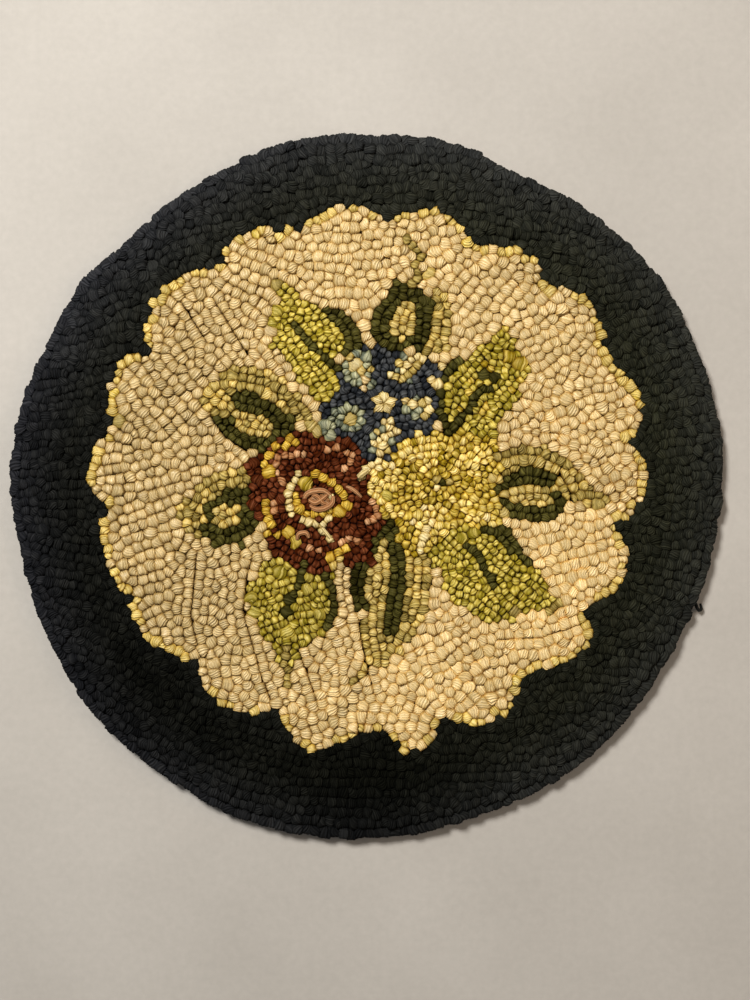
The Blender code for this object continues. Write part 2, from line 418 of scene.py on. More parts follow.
# Single loops, larger or matted flat: yarn, width, whether matted, and places
SPOTS = table("Spot", ("yarn", "width_mm", "matted", "places_px"), (
    ("ecru", 6.4, True, ((270, 330),)),
    ("tan", 5.6, True, ((117, 421),)),
    ("gold", 5.2, True, ((550, 291),)),
    ("khaki", 5.0, True, ((276, 284), (232, 375), (187, 513))),
    ("leaf", 5.5, True, ((278, 311), (272, 324))),
    ("leaf", 6.5, True, ((280, 572), (252, 598), (255, 612))),
    ("mustard", 6.8, True, ((510, 356), (521, 364))),
    ("khaki", 6.0, True, ((515, 612),)),
    ("leaf", 5.5, True, ((461, 538), (307, 590), (387, 496), (320, 614), (288, 632))),
    ("olive", 5.5, True, ((484, 374), (495, 377), (561, 501), (425, 300), (286, 612), (289, 600))),
    ("leaf", 6.0, True, ((474, 533),)),
    ("khaki", 6.0, True, ((599, 504),)),
    ("olive", 4.2, False, ((454, 365), (459, 361))),
    ("tan", 5.6, True, ((350, 419),)),
    ("cream", 6.0, True, ((355, 364),)),
    ("amber", 6.0, True, ((339, 512), (270, 471), (288, 532))),
    ("mustard", 7.6, True, ((306, 484),)),
    ("mustard", 6.4, True, ((296, 542),)),
    ("pink", 6.0, True, ((314, 500), (324, 501))),
    ("gold", 5.0, True, ((493, 478), (505, 513), (430, 273))),
    ("gold", 4.8, False, ((208, 392), (585, 485))),
    ("tan", 5.0, True, ((310, 424), (317, 431))),
    ("maroon", 5.0, True, ((372, 562), (347, 441), (252, 505), (258, 480), (254, 462))),
    ("teal", 5.0, True, ((366, 357), (326, 424), (331, 436))),
    ("cream", 4.2, False, ((413, 404), (429, 409), (432, 379), (437, 384))),
    ("tan", 4.4, False, ((422, 403), (425, 416))),
    ("cream", 3.6, False, ((442, 366), (487, 518))),
    ("lemon", 3.6, False, ((493, 524), (481, 514))),
    ("cream", 3.2, False, ((437, 488),)),
    ("olive", 2.9, False, ((443, 483),)),
    ("khaki", 3.4, False, ((449, 481), (437, 480))),
    ("khaki", 4.2, False, ((381, 638), (231, 406))),
    ("pink", 4.2, False, ((282, 481), (344, 469), (357, 541), (303, 454))),
    ("gold", 4.0, False, (
        (354, 208), (435, 211), (517, 249), (535, 260), (641, 405), (587, 645), (310, 750), (403, 750))),
))

# The star in the middle of the blue flower: its middle, and its points' yarn, size, reach and first turn
STAR_MIDDLE = BLUE_MIDDLE
STAR_POINTS = 5
STAR_YARN = "cream"
STAR_LOOP = 4.3
STAR_REACH = 3.0
STAR_TURN = math.radians(85)

# Rows of loops: yarn, spacing along the row, and the line that the row follows
STROKES = table("Stroke", ("yarn", "loop_mm", "line_px"), (
    # Leaf at the upper left: vein and dark upper edge
    ("olive", 3.9, ((294, 324), (306, 339), (318, 352), (337, 367))),
    ("olive", 3.8, ((328, 309), (340, 313), (350, 323), (358, 335), (357, 346))),
    ("olive", 3.7, ((333, 317), (341, 325), (348, 335), (349, 345), (345, 352))),
    # Leaf at the upper right: vein and dark lower edge
    ("olive", 3.5, ((490, 389), (482, 389), (474, 396))),
    ("olive", 3.6, ((478, 397), (474, 405), (467, 411), (461, 418), (455, 427), (448, 431))),
    ("olive", 3.6, ((454, 424), (445, 425))),
    ("olive", 3.6, ((448, 371), (442, 381), (440, 393))),
    ("olive", 3.5, ((442, 404), (440, 412), (444, 418))),
    # Leaf at the lower right: vein and dark upper edge
    ("olive", 3.6, ((467, 546), (477, 553), (482, 563), (487, 574), (494, 585))),
    ("olive", 3.5, ((487, 570), (492, 580))),
    ("olive", 3.7, ((497, 524), (507, 532), (514, 542), (520, 553), (528, 563))),
    ("olive", 3.7, ((484, 530), (495, 531), (504, 540), (511, 549))),
    ("khaki", 3.8, ((549, 613), (559, 603))),
    # Leaf at the lower left: vein and dark right edge
    ("olive", 3.7, ((304, 564), (301, 576), (298, 586), (294, 595))),
    ("olive", 3.7, ((326, 576), (332, 589), (334, 602), (332, 615), (326, 626))),
    ("khaki", 3.8, ((286, 650), (284, 662), (287, 674), (287, 685))),
    # Open leaf at the top
    ("olive", 3.9, ((397, 283), (393, 296), (382, 307), (375, 320), (376, 334), (385, 345), (399, 347))),
    ("olive", 3.9, ((404, 289), (402, 299), (391, 310), (384, 320), (385, 332), (394, 341), (408, 344))),
    ("olive", 3.9, ((412, 292), (420, 310), (419, 324), (418, 338))),
    ("olive", 3.8, ((428, 310), (427, 324), (426, 338), (420, 347))),
    ("core", 3.9, ((404, 305), (397, 316), (395, 332))),
    ("shading", 4.2, ((437, 291), (447, 300), (449, 313), (447, 326), (445, 340))),
    ("shading", 3.9, ((438, 299), (439, 311), (437, 324), (434, 338), (426, 350))),
    ("khaki", 3.8, ((407, 240), (416, 247), (419, 257), (416, 266), (419, 275), (412, 284))),
    # Open leaf at the right
    ("khaki", 4.1, ((499, 457), (512, 452), (526, 449), (541, 451), (555, 457), (568, 465))),
    ("core", 4.2, ((506, 463), (518, 461), (531, 459), (545, 464), (559, 471), (571, 479))),
    ("olive", 3.8, ((516, 476), (524, 471), (536, 473), (552, 477))),
    ("olive", 3.8, ((498, 489), (508, 484), (520, 481), (534, 481), (551, 485))),
    ("core", 3.9, ((506, 494), (517, 491), (529, 489), (542, 491), (554, 489))),
    ("olive", 3.9, ((504, 502), (514, 507), (526, 510), (539, 510), (551, 510))),
    ("olive", 3.8, ((514, 514), (526, 517), (540, 518), (554, 515))),
    ("khaki", 4.0, ((567, 502), (577, 498), (589, 495))),
    ("tan", 3.9, ((561, 476), (562, 486), (567, 495))),
    # Long open leaf at the bottom
    ("olive", 4.0, ((358, 566), (354, 580), (354, 594), (358, 607))),
    ("olive", 3.9, ((365, 567), (362, 581), (362, 595), (365, 608))),
    ("olive", 4.1, ((386, 530), (392, 543), (394, 557), (395, 572), (394, 588), (389, 603), (387, 632))),
    ("olive", 4.1, ((398, 548), (402, 563), (403, 578), (402, 592), (398, 607), (394, 630))),
    ("core", 4.0, ((384, 542), (378, 556), (371, 572), (367, 590), (368, 606))),
    ("core", 4.0, ((387, 565), (386, 580), (384, 595), (381, 610), (380, 624))),
    ("core", 4.0, ((379, 562), (377, 580), (375, 598), (374, 614), (373, 630), (375, 646), (377, 664))),
    ("shading", 4.0, ((410, 560), (409, 575), (409, 590), (407, 604), (405, 617))),
    ("shading", 4.2, ((418, 562), (418, 577), (416, 592), (414, 607), (409, 622), (400, 638), (386, 656))),
    ("shading", 4.1, ((427, 563), (427, 578), (426, 592), (424, 606), (419, 621), (409, 636), (396, 649))),
    ("shading", 4.1, ((365, 621), (365, 636), (367, 650), (369, 664), (361, 675))),
    # Open leaf at the lower left
    ("olive", 3.9, ((207, 508), (217, 502), (228, 497), (238, 492))),
    ("olive", 3.9, ((244, 500), (246, 512), (255, 523))),
    ("olive", 3.9, ((205, 534), (217, 539), (230, 541), (240, 536), (250, 530))),
    ("olive", 3.8, ((212, 529), (224, 533), (237, 530), (245, 521))),
    ("core", 3.9, ((236, 508), (226, 513), (216, 520))),
    ("shading", 4.2, ((247, 480), (234, 482), (221, 486), (209, 491), (198, 498))),
    ("shading", 4.2, ((240, 470), (226, 474), (212, 479), (200, 487))),
    # Open leaf at the upper left
    ("olive", 3.9, ((236, 397), (250, 401), (263, 405), (275, 411), (285, 421), (284, 432))),
    ("olive", 3.9, ((244, 407), (256, 411), (268, 414), (277, 423), (276, 436), (266, 444))),
    ("olive", 4.0, ((217, 421), (224, 432), (236, 440), (249, 445), (261, 448))),
    ("olive", 3.9, ((225, 422), (232, 432), (245, 438))),
    ("core", 3.9, ((236, 415), (239, 427), (249, 432), (259, 433))),
    ("khaki", 4.2, ((243, 377), (257, 379), (270, 383), (282, 389), (291, 399), (296, 410))),
    ("shading", 4.2, ((215, 385), (229, 384), (243, 386), (257, 390), (270, 396), (281, 404))),
    ("shading", 4.0, ((291, 396), (300, 406), (307, 415), (315, 423))),
    ("shading", 3.9, ((298, 416), (305, 423))),
    # Red flower: amber, pink and cream among the dark loops
    ("amber", 4.4, ((268, 455), (264, 464))),
    ("amber", 4.3, ((276, 447), (286, 445), (296, 442))),
    ("amber", 4.2, ((289, 439), (299, 438))),
    ("amber", 4.3, ((265, 503), (266, 514), (272, 525))),
    ("amber", 3.8, ((268, 533), (277, 536))),
    ("amber", 3.9, ((330, 558), (339, 552), (347, 549))),
    ("gold", 3.8, ((334, 566), (341, 560))),
    ("pink", 3.5, ((279, 457), (289, 455), (298, 454))),
    ("pink", 3.4, ((275, 464), (277, 473))),
    ("pink", 3.4, ((273, 503), (274, 511))),
    ("pink", 3.6, ((310, 548), (318, 551), (326, 554))),
    ("pink", 3.4, ((328, 450), (337, 447))),
    ("pink", 3.5, ((347, 452), (355, 456), (350, 463))),
    ("pink", 3.5, ((342, 541), (349, 538))),
    ("pink", 3.5, ((373, 502), (377, 510), (378, 518), (367, 522))),
    ("amber", 4.5, ((315, 474), (326, 479), (336, 486), (344, 494), (346, 505))),
    ("amber", 4.0, ((296, 495), (297, 506), (304, 512), (314, 514), (323, 514), (330, 510))),
    ("cream", 3.5, ((297, 473), (293, 484), (289, 493), (288, 501), (292, 515))),
    ("cream", 3.7, ((302, 521), (313, 524), (322, 525), (328, 520))),
    ("cream", 3.5, ((323, 532), (330, 538))),
    ("cream", 3.6, ((325, 493), (330, 497))),
    ("ecru", 4.0, ((340, 566), (338, 577), (340, 589), (343, 601), (344, 612))),
    ("ecru", 4.0, ((347, 571), (346, 583), (348, 595), (351, 607))),
    # Blue flower: pale centres of the petals
    ("ecru", 3.5, ((366, 380), (364, 388))),
    ("teal", 3.6, ((345, 364), (346, 376), (354, 384))),
    ("cream", 3.5, ((417, 356), (409, 362), (403, 370))),
    ("tan", 3.5, ((417, 365), (411, 373), (403, 379))),
    ("cream", 3.6, ((389, 428), (396, 431))),
    ("cream", 3.6, ((385, 437), (383, 446))),
    ("teal", 3.6, ((341, 410), (352, 407), (361, 412), (362, 421), (356, 429), (346, 430), (339, 423))),
    # Yellow flower: pale edge against the blue and the red
    ("cream", 3.8, ((361, 476), (368, 467), (378, 461))),
    ("lemon", 3.7, ((376, 480), (384, 485), (393, 488))),
    ("lemon", 3.7, ((371, 493), (381, 500))),
    ("cream", 3.9, ((431, 522), (426, 531), (422, 541), (421, 552))),
))

# Loose flat strands lying on the pile: yarn, width, thickness, and a line with heights over the pile
STRANDS = table("Strand", ("yarn", "width_mm", "thick_mm", "line"), (
    ("pink", 2.0, 1.0, ((346, 487, -0.6), (350, 488, 0.5), (356, 492, 0.6), (362, 498, -0.8))),
    ("pink", 2.8, 1.3, (
        (304, 500, -0.4), (307, 494, 0.4), (315, 491, 0.7), (324, 491, 0.6), (331, 496, -0.2))),
    ("pink", 2.8, 1.3, (
        (333, 496, -0.3), (332, 503, 0.5), (325, 508, 0.7), (316, 509, 0.5), (308, 505, -0.3))),
    ("pink", 2.7, 1.3, ((309, 500, -0.1), (315, 503, 0.8), (321, 500, 1.1), (327, 495, 0.3))),
    ("pink", 2.3, 1.2, ((312, 495, 0.1), (318, 497, 1.0), (323, 503, 1.0), (328, 504, 0.1))),
    ("pink", 2.4, 1.3, ((297, 540, -0.5), (299, 534, 0.7), (306, 533, 0.9), (309, 538, 0.2))),
    ("cream", 2.0, 1.2, ((322, 528, -0.3), (327, 534, 0.8), (334, 543, -0.4))),
    ("cream", 3.2, 1.8, ((358, 478, -0.6), (362, 474, 0.5), (368, 470, -0.4))),
))

# The black yarn end that sticks out of the rim: places and heights above the floor
TAIL_WIDTH = 1.7
TAIL = (
    (694, 602, 5.5), (698, 605, 5.0), (700, 609, 4.0),
    (702.5, 611.5, 3.0), (705, 610, 2.4), (704.5, 605, 1.6),
)


def to_pad(place):
    """A pixel of the photograph as a place on the pad, in millimetres."""
    return ((place[0] - PHOTO_MIDDLE[0]) * PIXEL_MM, (PHOTO_MIDDLE[1] - place[1]) * PIXEL_MM)


def line_to_pad(line):
    return [to_pad(place) for place in line]


CREASE_LINES = [line_to_pad(line) for line in CREASES]


class PadShape:
    """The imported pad: how far out its rim stands, and how high its upper face is."""

    STEPS = 720
    # Where rays start, in metres: beyond the rim, and above the pad
    OUTSIDE = 0.4
    ABOVE = 0.1

    def __init__(self, node):
        corners = [vertex.co.copy() for vertex in node.data.vertices]
        faces = [tuple(face.vertices) for face in node.data.polygons]
        self.tree = BVHTree.FromPolygons(corners, faces)
        self.reaches = [self.cast_inward(FULL_TURN * step / self.STEPS) for step in range(self.STEPS)]

    def cast_inward(self, angle):
        outward = Vector((math.cos(angle), math.sin(angle), 0.0))
        start = outward * self.OUTSIDE + Vector((0.0, 0.0, RIM_WIDEST * MM))
        hit = self.tree.ray_cast(start, -outward)[0]
        return math.hypot(hit.x, hit.y) / MM

    def rim(self, angle):
        """Distance of the rim's widest line from the middle at an angle, in millimetres."""
        step = (angle / FULL_TURN) % 1.0 * self.STEPS
        low = int(step) % self.STEPS
        share = step - int(step)
        return self.reaches[low] * (1 - share) + self.reaches[(low + 1) % self.STEPS] * share

    def inset(self, x, y):
        """How far inside the rim a place lies, in millimetres."""
        return self.rim(math.atan2(y, x)) - math.hypot(x, y)

    def top(self, x, y):
        """Height of the upper face at a place, in millimetres."""
        hit = self.tree.ray_cast(Vector((x * MM, y * MM, self.ABOVE)), Vector((0.0, 0.0, -1.0)))[0]
        return hit.z / MM if hit else RIM_WIDEST


def scallop_line():
    """The edge of the pale field as a closed line of places on the pad."""
    line = []
    for lobe, after in zip(LOBES, LOBES[1:] + LOBES[:1]):
        start = Vector(to_pad(lobe.notch_px))
        end = Vector(to_pad(after.notch_px))
        along = end - start
        outward = Vector((-along.y, along.x)).normalized()
        if outward.dot(start + end) < 0:
            outward = -outward
        skew = math.log(0.5) / math.log(lobe.peak_share)
        for step in range(LOBE_STEPS):
            share = step / LOBE_STEPS
            out = lobe.bulge_px * PIXEL_MM * math.sin(math.pi * share ** skew) ** lobe.pointedness
            place = start + along * share + outward * out
            line.append((place.x, place.y))
    return line


def walk(line, pitch, closed=False):
    """Places spaced evenly along a line, with the direction of the line at each."""
    points = [Vector(point) for point in line]
    if closed:
        points.append(points[0])
    lengths = [(after - before).length for before, after in zip(points, points[1:])]
    total = sum(lengths)
    count = max(1, round(total / pitch))
    placed = []
    for stop in range(count if closed else count + 1):
        left = total * stop / count
        part = 0
        while part < len(lengths) - 1 and left > lengths[part]:
            left -= lengths[part]
            part += 1
        along = (points[part + 1] - points[part]).normalized()
        place = points[part] + along * left
        placed.append((place.x, place.y, math.atan2(along.y, along.x)))
    return placed


class PatternMap:
    """Which area of the pattern each place on the pad belongs to, as a map of small squares."""

    SQUARE = 0.5
    HALF = 190.0
    BORDER = 0
    FIELD = 1
    FIRST_AREA = 2
    MOTIF = range(FIRST_AREA, FIRST_AREA + len(AREAS))

    def __init__(self, scallop):
        count = int(2 * self.HALF / self.SQUARE)
        middles = (np.arange(count) + 0.5) * self.SQUARE - self.HALF
        self.x, self.y = np.meshgrid(middles, middles, indexing="ij")
        self.labels = np.full((count, count), self.BORDER)
        self.paint(scallop, self.FIELD)
        for label, area in zip(self.MOTIF, AREAS):
            self.paint(line_to_pad(area.outline_px), label)

    def paint(self, outline, label):
        """Label the squares whose middles lie inside an outline."""
        inside = np.zeros(self.labels.shape, dtype=bool)
        before = outline[-1]
        for after in outline:
            if before[1] != after[1]:
                crosses = (self.y > before[1]) != (self.y > after[1])
                share = (self.y - before[1]) / (after[1] - before[1])
                inside ^= crosses & (self.x < before[0] + share * (after[0] - before[0]))
            before = after
        self.labels[inside] = label

    def at(self, x, y):
        column = int((x + self.HALF) / self.SQUARE)
        row = int((y + self.HALF) / self.SQUARE)
        return int(self.labels[column, row])


def blended(turns):
    """The places, doubled directions and scatters that the rows of an area are blended from."""
    return [(to_pad(row.place_px), 2 * math.radians(row.turn_deg), row.scatter) for row in turns]


FIELD_BLEND = blended(FIELD_TURNS)
BORDER_BLEND = blended(BORDER_TURNS)


def blended_rows(x, y, blend):
    """Direction of the rows at a place, in radians, and how far the loops scatter from them."""
    east = 0.0
    north = 0.0
    scattered = 0.0
    total = 0.0
    for (px, py), doubled, scatter in blend:
        weight = 1.0 / ((px - x) ** 2 + (py - y) ** 2 + BLEND_DISTANCE ** 2) ** BLEND_POWER
        east += weight * math.cos(doubled)
        north += weight * math.sin(doubled)
        scattered += weight * scatter
        total += weight
    return math.atan2(north, east) / 2, scattered / total


@dataclass
class Loop:
    """One loop of the pile; give is how freely it settles between its neighbours."""

    x: float
    y: float
    width: float
    yarn: str
    turn: float
    kind: str = "plain"
    give: float = 0.6


# What the pattern asks for at a place
Asked = namedtuple("Asked", ("label", "width", "yarns", "turn", "scatter"))


class Chart:
    """Every loop of the pad, with a quick search for those nearby."""

    CELL = 7.0
    # How far a loop strays, in millimetres, and how its width varies: in tidy rows, and added by scatter
    STRAY = (0.2, 0.7)
    WIDTH_SPREAD = (0.06, 0.08)
    WIDTH_LIMITS = (0.70, 1.40)
    TURN_SPREAD = 0.6
    # A loop that fills a gap stands this much farther from the rim, and takes this share of its room's width
    GAP_INSET = 0.5
    GAP_FIT = 0.96
    SETTLE_SHARPNESS = 10.0

    def __init__(self, pad, pattern):
        self.pad = pad
        self.pattern = pattern
        self.loops = []
        self.cells = {}
        self.random = random.Random(SEED)

    def stray(self, spread):
        return self.random.gauss(0.0, spread)

    def factor(self, spread, low=0.0, high=2.0):
        """A random factor around one, within limits."""
        return min(max(self.random.gauss(1.0, spread), low), high)

    def pick(self, yarns):
        names, shares = zip(*yarns)
        return self.random.choices(names, shares)[0]

    def cell(self, x, y):
        return (int(x // self.CELL), int(y // self.CELL))

    def clear(self, x, y, width, share):
        """Whether a loop of this width has room at a place."""
        column, row = self.cell(x, y)
        for beside in (-1, 0, 1):
            for above in (-1, 0, 1):
                for other in self.cells.get((column + beside, row + above), ()):
                    apart = share * (width + other.width) / 2
                    if (other.x - x) ** 2 + (other.y - y) ** 2 < apart * apart:
                        return False
        return True

    def add(self, loop):
        self.loops.append(loop)
        self.cells.setdefault(self.cell(loop.x, loop.y), []).append(loop)
        return loop

    def asked_at(self, x, y):
        """What the pattern asks for at a place."""
        label = self.pattern.at(x, y)
        if label == PatternMap.BORDER:
            return Asked(label, BORDER_LOOP, (("charcoal", 1.0),), *blended_rows(x, y, BORDER_BLEND))
        if label == PatternMap.FIELD:
            return Asked(label, FIELD_LOOP, (("ecru", 1.0),), *blended_rows(x, y, FIELD_BLEND))
        area = AREAS[label - PatternMap.FIRST_AREA]
        if isinstance(area.rows, tuple):
            middle_x, middle_y = to_pad(area.rows)
            turn = math.atan2(y - middle_y, x - middle_x) + math.pi / 2
            return Asked(label, area.loop_mm, area.yarns, turn, RING_SCATTER)
        return Asked(label, area.loop_mm, area.yarns, math.radians(area.rows), AREA_SCATTER)

    def try_beside(self, loop, heading, slip, wanted, share):
        """A new loop beside another, if the pattern and the room allow one; slip shifts it along the row."""
        here = self.asked_at(loop.x, loop.y)
        in_row = abs(math.cos(heading - here.turn)) > 0.5
        step = here.width * (ROW_PITCH if in_row else ROWS_APART)
        slip *= here.width
        stray = (self.STRAY[0] + self.STRAY[1] * here.scatter) * here.width / FIELD_LOOP
        x = loop.x + step * math.cos(heading) - slip * math.sin(heading) + self.stray(stray)
        y = loop.y + step * math.sin(heading) + slip * math.cos(heading) + self.stray(stray)
        if self.pad.inset(x, y) < RIM_INSET:
            return None
        there = self.asked_at(x, y)
        if there.label not in wanted:
            return None
        spread = self.WIDTH_SPREAD[0] + self.WIDTH_SPREAD[1] * there.scatter
        width = there.width * self.factor(spread, *self.WIDTH_LIMITS)
        if not self.clear(x, y, width, share):
            return None
        turn = there.turn + self.stray(self.TURN_SPREAD * there.scatter)
        return self.add(Loop(x, y, width, self.pick(there.yarns), turn))

    def spread(self, starts, wanted, share):
        """Grow rows outward from the starting loops: each row runs on as far as it can before the next."""
        waiting = list(starts)
        while waiting:
            loop = waiting.pop(0)
            for side in (-1, 1):
                turn = self.asked_at(loop.x, loop.y).turn
                slip = self.random.uniform(-0.5, 0.5)
                first = self.try_beside(loop, turn + side * math.pi / 2, slip, wanted, share)
                if not first:
                    continue
                waiting.append(first)
                for way in (0.0, math.pi):
                    last = first
                    while last and self.random.random() > ROW_BREAK:
                        turn = self.asked_at(last.x, last.y).turn
                        last = self.try_beside(last, turn + way, 0.0, wanted, share)
                        if last:
                            waiting.append(last)

    def fill_gaps(self, share, scale):
        """Add loops, of the usual width times a scale, wherever there is room for one."""
        count = int(2 * PatternMap.HALF / GAP_STEP)
        places = [(column, row) for column in range(count) for row in range(count)]
        self.random.shuffle(places)
        for column, row in places:
            x = (column + self.random.random()) * GAP_STEP - PatternMap.HALF
            y = (row + self.random.random()) * GAP_STEP - PatternMap.HALF
            if math.hypot(x, y) > PatternMap.HALF - 1 or self.pad.inset(x, y) < RIM_INSET + self.GAP_INSET:
                continue
            asked = self.asked_at(x, y)
            width = asked.width * scale
            if self.clear(x, y, width, share):
                self.add(Loop(x, y, width * self.GAP_FIT, self.pick(asked.yarns), asked.turn))

    def settle(self, rounds):
        """Move each loop towards the middle of the room that its neighbours leave it."""
        count = len(self.loops)
        angle = np.arange(OUTLINE_STEPS) * FULL_TURN / OUTLINE_STEPS
        ray_x = np.broadcast_to(np.cos(angle), (count, OUTLINE_STEPS))
        ray_y = np.broadcast_to(np.sin(angle), (count, OUTLINE_STEPS))
        give = np.array([loop.give for loop in self.loops])
        for _ in range(rounds):
            walls = Walls(self.loops, self.loops, self.tree(), 0.0, 0.0)
            reach = walls.reach(ray_x, ray_y, np.full(count, self.SETTLE_SHARPNESS))
            # The room's centre of area, from its reach in each direction
            size = (reach ** 2).sum(axis=1)
            shift_x = (reach ** 3 * ray_x).sum(axis=1) / size * 2 / 3 * give
            shift_y = (reach ** 3 * ray_y).sum(axis=1) / size * 2 / 3 * give
            for loop, move_x, move_y in zip(self.loops, shift_x, shift_y):
                loop.x += float(move_x)
                loop.y += float(move_y)

    def tree(self):
        """The loops' places, sorted for quick searches."""
        tree = kdtree.KDTree(len(self.loops))
        for index, loop in enumerate(self.loops):
            tree.insert((loop.x, loop.y, 0.0), index)
        tree.balance()
        return tree


def crease_foot(loop):
    """The nearest place of a long crease to a loop that stands beside it."""
    nearest = None
    nearest_apart = CREASE_REACH
    for line in CREASE_LINES:
        for before, after in zip(line, line[1:]):
            along_x = after[0] - before[0]
            along_y = after[1] - before[1]
            share = (loop.x - before[0]) * along_x + (loop.y - before[1]) * along_y
            share /= along_x ** 2 + along_y ** 2
            if not 0 <= share <= 1:
                continue
            foot = (before[0] + share * along_x, before[1] + share * along_y)
            apart = math.hypot(foot[0] - loop.x, foot[1] - loop.y)
            if CREASE_NEAREST < apart < nearest_apart:
                nearest = foot
                nearest_apart = apart
    return nearest


class Walls:
    """The upright walls that part loops from their neighbours, and so bound each loop's outline."""

    NEIGHBOURS = 12
    COUNT = NEIGHBOURS + 2
    # Nearest that a wall may stand to a loop's middle, in millimetres: between loops, and at a crease
    NEAREST = 0.6
    NEAREST_CREASE = 1.2
    # How much wider than their pitch the loops of the rim may spread
    RIM_REACH = 1.15

    def __init__(self, loops, everyone, tree, press_in_row, press_of_rows):
        self.facing_x = np.zeros((len(loops), self.COUNT))
        self.facing_y = np.zeros((len(loops), self.COUNT))
        self.nearness = np.zeros((len(loops), self.COUNT))
        widths = [max(loop.width, self.RIM_REACH * RIM_PITCH * (loop.kind == "rim")) for loop in loops]
        self.limit = 1 / (OUTLINE_LIMIT * np.array(widths))
        for count, loop in enumerate(loops):
            walls = self.around(loop, everyone, tree, press_in_row, press_of_rows)
            for wall, (facing_x, facing_y, distance) in enumerate(walls):
                self.facing_x[count, wall] = facing_x
                self.facing_y[count, wall] = facing_y
                self.nearness[count, wall] = 1 / distance

    def around(self, loop, everyone, tree, press_in_row, press_of_rows):
        """Direction and distance of each wall around a loop."""
        for place, index, apart in tree.find_n((loop.x, loop.y, 0.0), self.NEIGHBOURS):
            other = everyone[index]
            if other is loop:
                continue
            toward_x = (place[0] - loop.x) / apart
            toward_y = (place[1] - loop.y) / apart
            across = (toward_y * math.cos(loop.turn) - toward_x * math.sin(loop.turn)) ** 2
            press = press_in_row * (1 - across) + press_of_rows * across
            if loop.kind == other.kind == "rim":
                press += RIM_PRESS
            share = loop.width / (loop.width + other.width)
            yield toward_x, toward_y, max(self.NEAREST, apart * share + press / 2)
        if loop.kind == "rim":
            reach = math.hypot(loop.x, loop.y)
            yield loop.x / reach, loop.y / reach, RIM_INSET * loop.width / RIM_PITCH + RIM_PLUMP
        foot = crease_foot(loop)
        if foot:
            apart = math.hypot(foot[0] - loop.x, foot[1] - loop.y)
            distance = max(self.NEAREST_CREASE, apart - CREASE_GAP / 2)
            yield (foot[0] - loop.x) / apart, (foot[1] - loop.y) / apart, distance

    def reach(self, ray_x, ray_y, sharpness):
        """Distance to the outline along rays, with corners rounder the lower the sharpness."""
        power = sharpness[:, None]
        closeness = self.limit[:, None] ** power * np.ones(ray_x.shape)
        for wall in range(self.COUNT):
            facing = ray_x * self.facing_x[:, wall:wall + 1] + ray_y * self.facing_y[:, wall:wall + 1]
            closeness += (np.maximum(facing, 0.0) * self.nearness[:, wall:wall + 1]) ** power
        return closeness ** (-1 / power)


def place_spots(chart):
    """The loops that are charted one by one."""
    for spot in SPOTS:
        for place in spot.places_px:
            turn = chart.random.uniform(0, math.pi)
            kind = "matted" if spot.matted else "plain"
            chart.add(Loop(*to_pad(place), spot.width_mm, spot.yarn, turn, kind, give=0.1))


def place_star(chart):
    """Five loops around one place, with their strands running outward."""
    middle_x, middle_y = to_pad(STAR_MIDDLE)
    for point in range(STAR_POINTS):
        turn = STAR_TURN + FULL_TURN * point / STAR_POINTS
        x = middle_x + STAR_REACH * math.cos(turn)
        y = middle_y + STAR_REACH * math.sin(turn)
        chart.add(Loop(x, y, STAR_LOOP, STAR_YARN, turn + math.pi / 2, "neat", give=0.0))


def place_strokes(chart):
    """Rows of loops along charted lines, such as veins and the edges of petals."""
    stray = 0.16
    width_spread = 0.07
    for stroke in STROKES:
        for x, y, turn in walk(line_to_pad(stroke.line_px), stroke.loop_mm):
            x += chart.stray(stray)
            y += chart.stray(stray)
            width = stroke.loop_mm * chart.factor(width_spread)
            if chart.clear(x, y, width, STROKE_ROOM):
                yarn = chart.pick(MIXES[stroke.yarn]) if stroke.yarn in MIXES else stroke.yarn
                chart.add(Loop(x, y, width, yarn, turn, give=0.25))


def place_rim(chart):
    """The outermost row, which leans over the turned edge of the cloth."""
    turn_spread = 0.09
    reach_spread = 0.30
    width_spread = (0.13, 0.75, 1.3)
    middle_line = sum(chart.pad.reaches) / len(chart.pad.reaches) - RIM_INSET
    count = round(FULL_TURN * middle_line / RIM_PITCH)
    placed = []
    for step in range(count):
        angle = FULL_TURN * (step + chart.stray(turn_spread)) / count
        reach = chart.pad.rim(angle) - RIM_INSET + chart.stray(reach_spread)
        width = RIM_PITCH * chart.factor(*width_spread)
        x = reach * math.cos(angle)
        y = reach * math.sin(angle)
        placed.append(chart.add(Loop(x, y, width, "charcoal", angle + math.pi / 2, "rim", give=0.0)))
    return placed


def place_scallop(chart, scallop):
    """The uneven row of mostly gold loops just inside the pale field's edge, and the black row outside it."""
    # How far outward each row stands in millimetres, and how near its loops may stand to others
    row_inside = (-1.9, 0.66)
    row_outside = (2.4, 0.74)
    width_spread = 0.17
    rows_stray = 0.2
    stray = 0.4
    turn_spread = 0.7
    for x, y, turn in walk(scallop, SCALLOP_LOOP, closed=True):
        across = Vector((-math.sin(turn), math.cos(turn)))
        if across.dot(Vector((x, y))) < 0:
            across = -across
        shift = chart.stray(SCALLOP_STRAY)
        inner_yarn = chart.pick(SCALLOP_YARNS)
        for yarn, (out, room) in ((inner_yarn, row_inside), ("charcoal", row_outside)):
            width = SCALLOP_LOOP * chart.factor(width_spread)
            out += shift + chart.stray(rows_stray)
            spot_x = x + across.x * out + chart.stray(stray)
            spot_y = y + across.y * out + chart.stray(stray)
            if chart.clear(spot_x, spot_y, width, room):
                lean = turn + chart.stray(turn_spread)
                chart.add(Loop(spot_x, spot_y, width, yarn, lean, give=0.15))


